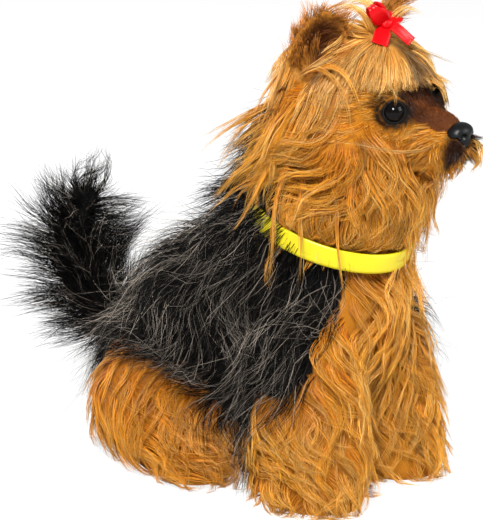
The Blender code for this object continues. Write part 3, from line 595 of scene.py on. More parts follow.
def regions_at(points, normals):
    """Index in REGIONS for each point of the skin, or -1 where no hair grows."""
    side, forward, up = np.abs(points[:, 0]), points[:, 1], points[:, 2]
    nearest = nearest_part(points)
    torso, neck, head, muzzle, foreleg, haunch, tail, ear = (nearest == k for k in range(len(PARTS)))
    eye = np.linalg.norm(np.stack([side, forward, up], 1) - np.array(EYE_AT), axis=1)
    nose = np.linalg.norm(points - np.array(NOSE_AT), axis=1)
    face, rump, below = head | muzzle, haunch | torso, neck & (strap_heights(points) < 0)
    found = np.full(len(points), -1)
    # Each line takes its points from the lines above it
    for where, region in (
            (torso, "back"),
            (torso & (forward > 126 - ramp(side, 20, 0) * 4), "chest"),
            (neck, "mane"),
            (neck & (forward < 99 - 0.45 * (up - 175)) & (up < 236), "nape"),
            (below, "back"),
            (below & (forward > 127), "chest"),
            (head, "cheek"),
            (head & (forward < 104) & (up < 262), "occiput"),
            (head & (forward < 90) & (up < 238), "nape"),
            (head & (up > 246), "crown"),
            (head & (up > 242) & (forward > 132), "fringe"),
            (head & (forward > 136) & (up < 206), "beard"),
            (muzzle, "muzzle"),
            (muzzle & (up > 223) & (side < 11), "bridge"),
            (muzzle & (forward > 176) & (up < 219), "lip"),
            (muzzle & (up < 203), "beard"),
            (face & (forward > 132) & (up > 222) & (up <= 244) & (side > 13), "muzzle"),
            (face & (eye < 15) & (up <= 236) & (side > 12), "eye_patch"),
            (face & (eye < 15) & (up > 236), "brow"),
            (face & (side < 13) & (forward > 148) & (up > 226) & (up < 246), "bridge"),
            (foreleg, "foreleg"),
            (foreleg & (up > 66 + ramp(forward, 110, 135) * 30), "back"),
            (foreleg & (up > 80) & (forward > 124), "chest"),
            (rump & (side > 30), "haunch"),
            (rump & ((side <= 30) | (up > haunch_top(forward))) & (forward <= 126), "back"),
            (torso & (side < 26) & (forward > 98) & (up < 96), "chest"),
            (tail, "tail"),
            (ear, "ear_back"),
            (ear & (normals[:, 1] > 0.05) & (side > 24), "ear_inside")):
        found[where] = REGIONS.index(region)
    found[(eye < 7.0) | (nose < 7.5) | (up < 3.0) | ((normals[:, 2] < -0.8) & (up < 40))] = -1
    return found


def haunch_top(forward):
    """Height of the line where the dark back meets the haunch."""
    return np.interp(forward, (-60, -20, 31, 58, 75, 90), (70, 74, 69, 41, 17, 0))


def strap_heights(points):
    """How far points (rows of millimetres) are above the strap's middle, along the neck."""
    return (points - np.array(COLLAR_CENTRE)) @ np.array((0, math.sin(NECK_LEAN), math.cos(NECK_LEAN)))


# Patches that differ from their region: centre, half sizes, colour, how soft the edge is
PATCHES = [
    ((0, 157, 262), (4.5, 22, 26), "stripe", 0.4),
    # Dark brown fur between the eyes, darkened further as painted shadow under the fringe.
    ((0, 158, 240), (11, 11, 7), "brow_dark_and_fringe_shadow", 0.35),
    ((0, 172, 229), (11, 18, 9), "bridge", 0.25),
    ((8.5, 186.5, 213), (6.2, 8, 8), "mouth", 0.25),
    # Brown fur beside the eye, darkened further as painted shadow under the fringe.
    ((13, 162, 235), (8, 9, 9), "brow_dark_and_fringe_shadow", 0.4),
    ((21.5, 155, 233), (9.2, 10.2, 9), "lid", 0.15),
    ((18, 172, 206), (3, 5, 3.5), "mouth_corner", 0.4),
    ((33, 115, 268), (8, 12, 14), "ear", 0.3),
]


def srgb(red, green, blue):
    """Linear colour from an 8-bit display colour."""
    channels = np.array([red, green, blue]) / 255
    return tuple(np.where(channels <= 0.04045, channels / 12.92, ((channels + 0.055) / 1.055) ** 2.4))


REGION_COLOURS = {name: "tan" for name in REGIONS}
REGION_COLOURS.update(back="dark", nape="dark", tail="dark", fringe="fair", crown="fair", haunch="rust",
                      bridge="bridge", ear_back="ear_back", ear_inside="ear_back")


def markings(points, regions, palette, long=False):
    """Root and tip colours for points of the coat: the region's own, then the patches over them, which
    long hair shows only at its roots."""
    own = np.array([palette[REGION_COLOURS[name]] for name in REGIONS] + [palette["tan"]])
    root, tip = own[regions, 0], own[regions, 1]
    mirrored_points = points.copy()
    mirrored_points[:, 0] = np.abs(points[:, 0])
    for centre, half, key, soft in PATCHES:
        reach = np.linalg.norm((mirrored_points - np.array(centre)) / np.array(half), axis=1)
        share = (1 - ramp(reach, 1 - soft, 1 + soft))[:, None]
        root += (np.array(palette[key][0]) - root) * share
        tip += (np.array(palette[key][1]) - tip) * share * (0.0 if long else 1.0)
    return root, tip


# How the coat lies
# Directions before they are laid along the skin, from the side's sign, forward and up
FLOWS = {
    "back": lambda sign, forward, up: (0.2 * sign, -0.5 * (1 - ramp(-up, -60, -30)), -0.85),
    "chest": lambda sign, forward, up: (0.1 * sign, 0.1, -1),
    "nape": lambda sign, forward, up: (0.15 * sign, -0.3, -1),
    "mane": lambda sign, forward, up: (0.1 * sign, -0.45 * ramp(up, 160, 200), -1),
    "occiput": lambda sign, forward, up: (0.2 * sign, -0.5, -0.9),
    "cheek": lambda sign, forward, up: (0.25 * sign, -0.8, -0.7 - 0.35 * ramp(-up, -215, -180)),
    "bridge": lambda sign, forward, up: (0.12 * sign, -1, 0.25),
    "lip": lambda sign, forward, up: (0.35 * sign, 0.25, -0.9),
    "beard": lambda sign, forward, up: (0.1 * sign, -0.25, -1),
    "foreleg": lambda sign, forward, up: (0.05 * sign, 0.45 + 0.3 * ramp(-up, -45, -10), -0.85),
    "haunch": lambda sign, forward, up: (0.1 * sign, 0.7 - ramp(-forward, -10, 40), -0.7),
}
# Long hair that also stands off: its share along the skin, a direction, and the share of that
STANDING = {"nape": (0.6, (0, -1, -0.45), 0.55), "occiput": (0.65, (0, -1, -0.7), 0.5)}
LIP_STAND = 0.45


def lie_crown(sign, side, forward, up, out):
    """Away from the bow on top, and down behind it."""
    away = (place(side, forward, up) - place(*BOW_AT)).normalized()
    top = ramp(up, 232, 256) * ramp(forward, 88, 116)
    return along(away * top + towards(0.3 * sign, -0.4, -0.9) * (1.1 - top), out)


def lie_fringe(sign, side, forward, up, out):
    """Away from the bow and down."""
    away = (place(side, forward, up) - place(*BOW_AT)).normalized()
    return along(away + towards(0.3 * sign, 0.0, -0.9) * 0.8, out)


def lie_face(sign, side, forward, up, out):
    """Back from the nose, and away from the eye."""
    eye = place(side, forward, up) - on_side(sign, EYE_AT)
    near = 1 - ramp(eye.length / MM, 9, 18)
    flow = towards(0.45 * sign, -0.85, 0.05 - 0.6 * ramp(-up, -228, -210))
    return along(flow + eye.normalized() * near, out)


def lie_ear(sign, side, forward, up, out):
    """Up the ear and out over its rim."""
    base, tip = on_side(sign, EAR_BASE), on_side(sign, EAR_TIP)
    rise = (tip - base).normalized()
    here = place(side, forward, up)
    aside = (here - base) - rise * (here - base).dot(rise)
    return (along(rise * 0.8 + aside.normalized() * 0.6, out) + out * 0.15).normalized()


def lie_tail(sign, side, forward, up, out):
    """Along the tail and out from it."""
    spine = [Vector((0, f, u)) for _, f, u in TAIL_LINE]
    here = Vector((side, forward, up))
    k = min(range(len(spine)), key=lambda i: (spine[i] - here).length)
    run = (spine[min(k + 1, len(spine) - 1)] - spine[max(0, k - 1)]).normalized()
    return (along(Vector((run.x, -run.y, run.z)), out) * 0.55 + out * 0.75).normalized()


LIES = {"crown": lie_crown, "fringe": lie_fringe, "brow": lie_face, "eye_patch": lie_face, "muzzle": lie_face,
        "ear_back": lie_ear, "ear_inside": lie_ear, "tail": lie_tail}


def lie(region, side, forward, up, out):
    """The direction of a region's hair at a point where the skin faces out."""
    sign = math.copysign(1, side)
    if region in LIES:
        return LIES[region](sign, side, forward, up, out)
    flow = along(towards(*FLOWS[region](sign, forward, up)), out)
    if region == "lip":
        return (flow + out * LIP_STAND).normalized()
    if region in STANDING:
        share, off, rest = STANDING[region]
        return (flow * share + towards(*off) * rest).normalized()
    return flow


def strap_height(point):
    """How far a point is above the middle of the strap, along the neck, in millimetres."""
    return (point - place(*COLLAR_CENTRE)).dot(NECK_AXIS) / MM


def kept_off(point, region):
    """Whether a point is where no hair may be: an eye, the nose, the strap or past the fringe's end."""
    side, forward, up = point.x / MM, -point.y / MM, point.z / MM
    if math.dist((abs(side), forward, up), EYE_AT) < EYE_RADIUS + EYE_CLEAR:
        return True
    if math.dist((side, forward, up), NOSE_AT) < NOSE_CLEAR:
        return True
    if region in ("fringe", "crown") and forward > 138 and up < (244 if side < 12 else 237):
        return True
    if region in ("back", "nape"):
        return forward > 108 and abs(strap_height(point)) < STRAP_CLEAR
    covered = STRAP_COVERED[0] < side < STRAP_COVERED[1]
    return forward > 100 and not covered and -STRAP_CLEAR < strap_height(point) < STRAP_TOP


# Where a region's hair is longer or shorter than its growth says, from forward, up and the way to the eye
LENGTHS = {
    "fringe": lambda forward, up, eye: 0.35 + 0.8 * ramp(up, 242, 268),
    "eye_patch": lambda forward, up, eye: 0.4 + 0.8 * ramp(eye, 9, 18),
    "chest": lambda forward, up, eye: 0.55 + 0.5 * ramp(-up, -140, -100),
    "foreleg": lambda forward, up, eye: 0.42 + 0.6 * ramp(up, 5, 38),
    "tail": lambda forward, up, eye: 0.65 + 0.35 * ramp(up, 60, 90) - 0.52 * ramp(up, 108, 140),
    "beard": lambda forward, up, eye: 1 - 0.75 * ramp(forward, 166, 176) * ramp(up, 190, 198),
    "muzzle": lambda forward, up, eye: 0.4 + 0.8 * ramp(-forward, -178, -156),
    "back": lambda forward, up, eye: 1 - 0.3 * ramp(-up, -40, -10),
}


def length_share(region, side, forward, up):
    """The share of a region's hair length that grows at a point."""
    if region not in LENGTHS:
        return 1.0
    return LENGTHS[region](forward, up, math.dist((abs(side), forward, up), EYE_AT))


# Laying the hair
class Hide:
    """The skin's surface as arrays and a search tree."""

    def __init__(self, obj):
        mesh = obj.data
        mesh.calc_loop_triangles()
        count = len(mesh.loop_triangles)
        self.points = np.empty((len(mesh.vertices), 3))
        mesh.vertices.foreach_get("co", self.points.ravel())
        self.corners = np.empty((count, 3), np.int64)
        mesh.loop_triangles.foreach_get("vertices", self.corners.ravel())
        loops = np.empty((count, 3), np.int64)
        mesh.loop_triangles.foreach_get("loops", loops.ravel())
        uv = np.empty((len(mesh.loops), 2))
        mesh.uv_layers["OFBake"].data.foreach_get("uv", uv.ravel())
        self.uv = uv[loops]
        a, b, c = (self.points[self.corners[:, k]] for k in range(3))
        cross = np.cross(b - a, c - a)
        double = np.linalg.norm(cross, axis=1)
        self.areas = double / 2
        self.normals = cross / np.maximum(double, 1e-12)[:, None]
        centres = (a + b + c) / 3
        self.regions = regions_at(to_mm(centres), self.normals * (1, -1, 1))
        self.tree = BVHTree.FromPolygons(self.points.tolist(), self.corners.tolist())

    def scatter(self, region, spacing, rng):
        """Face numbers and points spread over a region, no two nearer than the spacing."""
        mine = np.flatnonzero(self.regions == REGIONS.index(region))
        if not len(mine):
            return np.empty(0, int), np.empty((0, 3))
        areas = self.areas[mine]
        tries = int(areas.sum() / (spacing * MM) ** 2 * 4)
        faces = rng.choice(mine, size=tries, p=areas / areas.sum())
        a, b = rng.random(tries), rng.random(tries)
        flip = a + b > 1
        a[flip], b[flip] = 1 - a[flip], 1 - b[flip]
        corners = self.points[self.corners[faces]]
        points = corners[:, 0] + (corners[:, 1] - corners[:, 0]) * a[:, None] \
            + (corners[:, 2] - corners[:, 0]) * b[:, None]
        cell, taken, kept = spacing * MM, {}, []
        for k, point in enumerate(points):
            key = tuple(np.floor(point / cell).astype(int))
            near = (taken.get((key[0] + i, key[1] + j, key[2] + m), ())
                    for i in (-1, 0, 1) for j in (-1, 0, 1) for m in (-1, 0, 1))
            if all(((point - other) ** 2).sum() > (0.8 * cell) ** 2 for group in near for other in group):
                taken.setdefault(key, []).append(point)
                kept.append(k)
        return faces[kept], points[kept]

    def trace(self, root, normal, region, growth, length, lift, phase):
        """Points and outward directions of a lock that leaves its root and lies along the coat."""
        step = length * MM / GUIDE_STEPS
        here, out = Vector(root), Vector(normal)
        points, outs = [here.copy()], [out.copy()]
        strap = region in ("mane", "cheek", "beard", "chest")
        for k in range(1, GUIDE_STEPS + 1):
            flow = lie(region, here.x / MM, -here.y / MM, here.z / MM, out)
            turn = growth.swirl * noise.noise(here / (40 * MM)) \
                + growth.curl * math.sin(2 * math.pi * k * step / (growth.wave * MM) + phase)
            flow = Matrix.Rotation(turn, 3, out) @ flow
            flow = (flow + Vector((0, 0, -growth.droop * k / GUIDE_STEPS))).normalized()
            goal = here + flow * step
            near, face_normal, _, _ = self.tree.find_nearest(goal)
            height = (goal - near).dot(face_normal)
            want = lift * MM * (k / GUIDE_STEPS) ** 0.75
            front = STRAP_COVERED[0] * MM < here.x < STRAP_COVERED[1] * MM and -here.y > 128 * MM
            if strap and not front:
                want = min(want, max(2.2, abs(strap_height(goal)) * 0.55 - 1.0) * MM)
                if height > want and region != "cheek":
                    goal = near + face_normal * want + (goal - near - face_normal * height) * 0.3
                    height = want
            if height < want:
                goal = near + face_normal * want
                out = (out + face_normal * 2).normalized()
            goal.z = max(goal.z, FLOOR_CLEAR * MM)
            here = goal
            points.append(here.copy())
            outs.append(out.copy())
        return points, outs

    def root_patch(self, point):
        """The nearest point of the skin, its normal, and its place on the bake map."""
        near, normal, face, _ = self.tree.find_nearest(point)
        a, b, c = (self.points[i] for i in self.corners[face])
        weights = barycentric(np.array(near), a, b, c)
        return near, normal, weights @ self.uv[face]


def the_hide():
    """The skin's surface, read once."""
    skin = bpy.data.objects["skin"]
    if skin.data.name not in HIDES:
        HIDES[skin.data.name] = Hide(skin)
    return HIDES[skin.data.name]


def to_mm(points):
    """Rows of side, forward, up in millimetres from rows in metres."""
    return points * (1000, -1000, 1000)


def barycentric(point, a, b, c):
    ab, ac, ap = b - a, c - a, point - a
    d00, d01, d11, d20, d21 = ab @ ab, ab @ ac, ac @ ac, ap @ ab, ap @ ac
    scale = d00 * d11 - d01 * d01
    if scale < 1e-20:
        return np.array([1.0, 0.0, 0.0])
    v, w = (d11 * d20 - d01 * d21) / scale, (d00 * d21 - d01 * d20) / scale
    return np.array([1 - v - w, v, w])


def lay_locks(hide, growth, region, hand, coat, rng):
    """The paths and outward directions of the locks of a region, on one side or (0) on both."""
    faces, roots = hide.scatter(region, growth.spacing / math.sqrt(coat.density), rng)
    paths, outs = [], []
    for face, root in zip(faces, roots):
        side, forward, up = to_mm(root)
        inner = region in ("foreleg", "haunch") and hide.normals[face][0] * side < -0.4 * abs(side)
        hidden = inner or (hide.normals[face][2] < -0.35 and up < 60)
        if side * hand < 0 or (hidden and rng.random() < HIDDEN_SHARE):
            continue
        length = growth.length * length_share(region, side, forward, up)
        length = length * coat.length * rng.uniform(0.75, 1.2)
        lift = growth.lift * rng.uniform(0.6, 1.2)
        phase = 5 * noise.noise(Vector(root) / (34 * MM) + Vector((7, 3, 5))) + rng.normal(0, 0.5)
        normal = hide.normals[face]
        points, normals = hide.trace(root, normal, region, growth, length, lift, phase)
        hit = next((k for k, point in enumerate(points) if k and kept_off(point, region)), None)
        if hit is not None:
            length *= max(0.2, (hit - 0.5) / GUIDE_STEPS)
            points, normals = hide.trace(root, normal, region, growth, length, lift, phase)
        paths.append([tuple(p) for p in points])
        outs.append([tuple(n) for n in normals])
    return np.array(paths).reshape(-1, GUIDE_STEPS + 1, 3), np.array(outs).reshape(-1, GUIDE_STEPS + 1, 3)


def lay_by_hand(hide, lock, rng):
    """The paths of a listed lock, bent a little differently on each side."""
    paths, outs = [], []
    for hand in lock.hands:
        marks = np.array(lock.path) * (hand, 1, 1) + rng.normal(0, HAND_WANDER, (len(lock.path), 3))
        bend = np.stack([np.interp(np.linspace(0, len(marks) - 1, GUIDE_STEPS + 1), range(len(marks)),
                                   marks[:, axis]) for axis in range(3)], axis=1)
        for _ in range(3):
            bend[1:-1] = (bend[:-2] + bend[1:-1] * 2 + bend[2:]) / 4
        points = bend * (MM, -MM, MM)
        paths.append(points)
        outs.append([tuple(hide.tree.find_nearest(Vector(point))[1]) for point in points])
    return np.array(paths), np.array(outs)


def unit(vectors):
    return vectors / np.maximum(np.linalg.norm(vectors, axis=-1, keepdims=True), 1e-9)


def within_box(points):
    """Eases points that reach past the CAD model's box back to within STAND_PROUD of it."""
    low, high = (np.array(corner) for corner in CAD_BOX)
    room = STAND_PROUD * MM
    past = np.maximum(points - high, 0) - np.maximum(low - points, 0)
    return points - past + np.sign(past) * room * (1 - np.exp(-np.abs(past) / room))


def grow_hairs(hide, growth, paths, outs, coat, rng, spread=None):
    """The hairs of some locks: points along each, outward directions, widths, roots and tones."""
    locks, hairs, steps = len(paths), growth.hairs, growth.steps
    share = np.linspace(0, 1, steps + 1)
    reach = rng.uniform(0.55, 1.08, (locks, hairs, 1)) * share
    low = np.clip((reach * GUIDE_STEPS).astype(int), 0, GUIDE_STEPS - 1)
    part = (reach * GUIDE_STEPS - low)[..., None]
    rows = np.arange(locks)[:, None, None]
    points = paths[rows, low] * (1 - part) + paths[rows, low + 1] * part
    normals = unit(outs[rows, low] * (1 - part) + outs[rows, low + 1] * part)
    first = unit(paths[:, 1] - paths[:, 0])
    across = unit(np.cross(first, outs[:, 0]))
    ahead = np.cross(outs[:, 0], across)
    spin = rng.uniform(0, 2 * math.pi, (locks, hairs))
    span = np.sqrt(rng.random((locks, hairs))) * (spread or growth.spacing * 0.75) * MM
    offset = (np.cos(spin) * span)[..., None] * across[:, None] \
        + (np.sin(spin) * span)[..., None] * ahead[:, None]
    points = points + offset[:, :, None] * (1 - growth.clump * reach[..., None] ** 0.8)
    lengths = np.linalg.norm(paths[:, -1] - paths[:, 0], axis=1)[:, None, None]
    stray = unit(rng.normal(size=(locks, hairs, 3))) * (rng.random((locks, hairs, 1)) ** 1.5)
    stray = stray * growth.mess * coat.mess * lengths
    points = points + stray[:, :, None] * (share ** 1.6)[:, None]
    if growth.clump < 0:
        bend = unit(rng.normal(size=(locks, hairs, 3))) * lengths * 0.11
        points = points + bend[:, :, None] * np.sin(share * math.pi * 1.3)[:, None]
    points, normals = points.reshape(-1, steps + 1, 3), normals.reshape(-1, steps + 1, 3)
    roots, patches = [], []
    for start in points[:, 0]:
        near, normal, patch = hide.root_patch(start)
        roots.append(tuple(near - normal * (ROOT_DEPTH * MM)))
        patches.append(patch)
    roots = np.array(roots)
    points = points + (roots - points[:, 0])[:, None] * ((1 - share) ** 2)[:, None]
    points = within_box(points)
    points[:, :, 2] = np.maximum(points[:, :, 2], FLOOR_CLEAR * MM)
    tone = np.repeat(rng.normal(0, 1, locks), hairs)
    widths = growth.width * MM * coat.width * rng.uniform(0.65, 1.2, len(points))
    return points, normals, widths, roots, np.array(patches), tone


def hair_colours(kind, region, roots, share, tone, palette, rng):
    """Colour at each step of each hair, from the markings at its root."""
    index = np.full(len(roots), REGIONS.index(region))
    long = kind not in ("fringe", "crown") and GROWTHS[kind].length > 15
    root, tip = markings(to_mm(roots), index, palette, long)
    level = np.clip(1 + 0.14 * tone + rng.normal(0, 0.14, len(roots)), 0.45, 1.6)[:, None, None]
    # From the dark root colour to the tip colour: painted shade deep in the coat near the skin.
    blend = np.clip(share * 1.25, 0, 1)[None, :, None]
    colour = root[:, None] * (1 - blend) + tip[:, None] * blend
    if kind == "grizzle":
        shade = np.array(palette["silver"][1]) * 1.5 * rng.random((len(roots), 1)) ** 3.2
        turn = ramp(share, 0.05, 0.35)[None, :, None]
        return np.clip(colour * (1 - turn) + shade[:, None] * turn, 0, 0.95)
    colour = colour * level
    if REGION_COLOURS[region] in ("tan", "rust", "fair"):
        # Paler hairs at random, whitened towards white and blue: painted sheen on the tan coat.
        pale = (rng.random(len(roots)) < SHEEN_PALE_SHARE)[:, None, None]
        deep = (rng.random(len(roots)) < DEEP_SHARE)[:, None, None]
        sheen_lighter = colour * (SHEEN_PALE_FAIR if REGION_COLOURS[region] == "fair" else SHEEN_PALE)
        colour = np.where(pale, sheen_lighter, np.where(deep, colour * DEEP, colour))
    return np.clip(colour, 0.0, 0.95)


def hair_mesh(name, batches):
    """One mesh of three-sided tapering hairs, each closed, from batches of equal steps."""
    corners, quads, tris, colours, patches = [], [], [], [], []
    base = 0
    for points, normals, widths, patch, colour in batches:
        count, rings = points.shape[0], points.shape[1] - 1
        share = np.linspace(0, 1, rings + 1)
        run = unit(np.gradient(points, axis=1))
        out = unit(normals - run * (normals * run).sum(-1, keepdims=True))
        side = np.cross(run, out)
        half = widths[:, None] / 2 * (1.0 - 0.8 * share ** 1.5)
        angles = np.array([math.pi / 2, math.pi / 2 + 2 * math.pi / 3, math.pi / 2 + 4 * math.pi / 3])
        ring = side[:, :rings, None] * np.cos(angles)[:, None] \
            + out[:, :rings, None] * np.sin(angles)[:, None]
        ring = points[:, :rings, None] + ring * half[:, :rings, None, None]
        verts = np.concatenate([ring.reshape(count, rings * 3, 3), points[:, -1:]], axis=1)
        each = rings * 3 + 1
        starts = base + np.arange(count) * each
        quad = [(3 * k + c, 3 * k + (c + 1) % 3, 3 * (k + 1) + (c + 1) % 3, 3 * (k + 1) + c)
                for k in range(rings - 1) for c in range(3)]
        tri = [(3 * (rings - 1) + c, 3 * (rings - 1) + (c + 1) % 3, each - 1) for c in range(3)] + [(2, 1, 0)]
        quads.append((starts[:, None, None] + np.array(quad)).reshape(-1, 4))
        tris.append((starts[:, None, None] + np.array(tri)).reshape(-1, 3))
        corners.append(verts.reshape(-1, 3))
        shade = np.concatenate([np.repeat(colour[:, :rings], 3, axis=1), colour[:, -1:]], axis=1)
        colours.append(shade.reshape(-1, 3))
        down = np.append(np.repeat(share[:rings], 3), 1.0)
        aside = np.append(np.tile((0.0, 0.5, 1.0), rings), 0.5)
        spot = np.stack([aside - 0.5, down - 0.5], axis=1) * BAKE_PATCH
        patches.append((patch[:, None] + spot).reshape(-1, 2))
        base += count * each
    corners, colours, patches = (np.concatenate(a) for a in (corners, colours, patches))
    quads, tris = np.concatenate(quads), np.concatenate(tris)
    return mesh_from(name, corners, quads, tris, colours, patches)


def mesh_from(name, corners, quads, tris, colours, patches):
    """A linked mesh with its hair colours and its places on the bake map."""
    mesh = bpy.data.meshes.new(name)
    loops = np.concatenate([quads.ravel(), tris.ravel()])
    sizes = np.concatenate([np.full(len(quads), 4), np.full(len(tris), 3)])
    mesh.vertices.add(len(corners))
    mesh.vertices.foreach_set("co", corners.astype(np.float32).ravel())
    mesh.loops.add(len(loops))
    mesh.loops.foreach_set("vertex_index", loops.astype(np.int32))
    mesh.polygons.add(len(sizes))
    mesh.polygons.foreach_set("loop_start", np.concatenate([[0], np.cumsum(sizes)[:-1]]).astype(np.int32))
    mesh.polygons.foreach_set("loop_total", sizes.astype(np.int32))
    mesh.update(calc_edges=True)
    tint = mesh.color_attributes.new("hair_colour", "FLOAT_COLOR", "POINT")
    rgba = np.concatenate([colours, np.ones((len(colours), 1))], axis=1)
    tint.data.foreach_set("color", rgba.astype(np.float32).ravel())
    layer = mesh.uv_layers.new(name="OFBake")
    layer.data.foreach_set("uv", patches[loops].astype(np.float32).ravel())
    mesh.shade_smooth()
    return link(name, mesh)


# Settings
def colour_setting(name, description, red, green, blue):
    return FloatVectorProperty(name=name, description=description, subtype="COLOR", size=3, min=0, max=1,
                               default=srgb(red, green, blue))


def share_setting(name, description, low, high):
    return FloatProperty(name=name, description=description, default=1.0, min=low, max=high, subtype="FACTOR")


def length_setting(name, description, millimetres, precision=4):
    return FloatProperty(name=name, description=description, default=millimetres * MM, unit="LENGTH",
                         precision=precision)


class TerrierColours(bpy.types.PropertyGroup):
    """Colours of the coat and the trimmings."""

    tan: colour_setting("Tan", "Legs, chest, cheeks and mane", 208, 146, 46)
    fair: colour_setting("Fair", "Crown and fringe", 212, 160, 84)
    rust: colour_setting("Rust", "Haunches", 206, 138, 38)
    dark: colour_setting("Dark", "Back, nape and tail", 9, 8, 7)
    silver: colour_setting("Silver", "The pale hairs of the back", 176, 164, 150)
    brown: colour_setting("Brown", "Bridge of the muzzle, stripe and mouth", 112, 60, 26)
    strap: colour_setting("Strap", "Neck strap", 196, 180, 4)
    ribbon: colour_setting("Ribbon", "Tied ribbon", 178, 0, 6)


class TerrierCoat(bpy.types.PropertyGroup):
    """How dense, long and tidy the coat is."""

    density: share_setting("Density", "Locks per area, against the toy's own", 0.1, 1.5)
    length: share_setting("Length", "Hair length, against the toy's own", 0.3, 1.3)
    width: share_setting("Hair width", "Thickness of a hair, against the toy's own", 0.3, 3.0)
    mess: share_setting("Mess", "How far single hairs stray", 0.0, 3.0)
    seed: IntProperty(name="Seed", description="Start of the random draw", default=11, min=0)


class TerrierTrim(bpy.types.PropertyGroup):
    """Sizes of the strap, ribbon, lids and skin."""

    strap_width: length_setting("Strap width", "Height of the neck strap", COLLAR_WIDTH)
    strap_wall: length_setting("Strap wall", "Thickness of the neck strap", COLLAR_WALL)
    ribbon_width: length_setting("Ribbon width", "Width of the ribbon", 9.5)
    ribbon_wall: length_setting("Ribbon wall", "Thickness of the ribbon", 0.35, 5)
    lid_radius: length_setting("Lid thickness", "Thickness of the rim round an eye", 0.5, 5)
    skin_voxel: length_setting("Skin voxel", "Fineness of the skin's surface", 2.2, 5)


def palette_from(colours):
    """Root and tip colours of each marking; the roots are darker and more saturated as painted shade deep in
    the coat.
    """
    tan, fair, rust, brown = (np.array(c) for c in (colours.tan, colours.fair, colours.rust, colours.brown))
    dark, silver = np.array(colours.dark), np.array(colours.silver)
    return {
        "tan": (tan * (0.66, 0.4, 0.08), tan), "fair": (fair * (0.72, 0.5, 0.2), fair),
        "rust": (rust * (0.55, 0.32, 0.07), rust), "dark": (dark * 0.3, dark),
        # The brow's marking is brown fur darkened further as painted shadow under the fringe.
        "silver": (dark, silver), "bridge": (brown * 0.35, brown), "brow_dark_and_fringe_shadow": (brown * 0.12, brown * 0.3),
        "stripe": (brown * (0.5, 0.8, 0.8), brown * (1.0, 1.8, 2.4)), "lid": (dark * 0.5, dark * 0.8),
        "mouth": (brown * 0.05, brown * 0.2), "mouth_corner": (dark * 3, silver * 0.3),
        "ear": (brown * 0.2, brown * 0.9), "ear_back": (tan * (0.35, 0.28, 0.2), tan * (0.8, 0.66, 1.1)),
    }


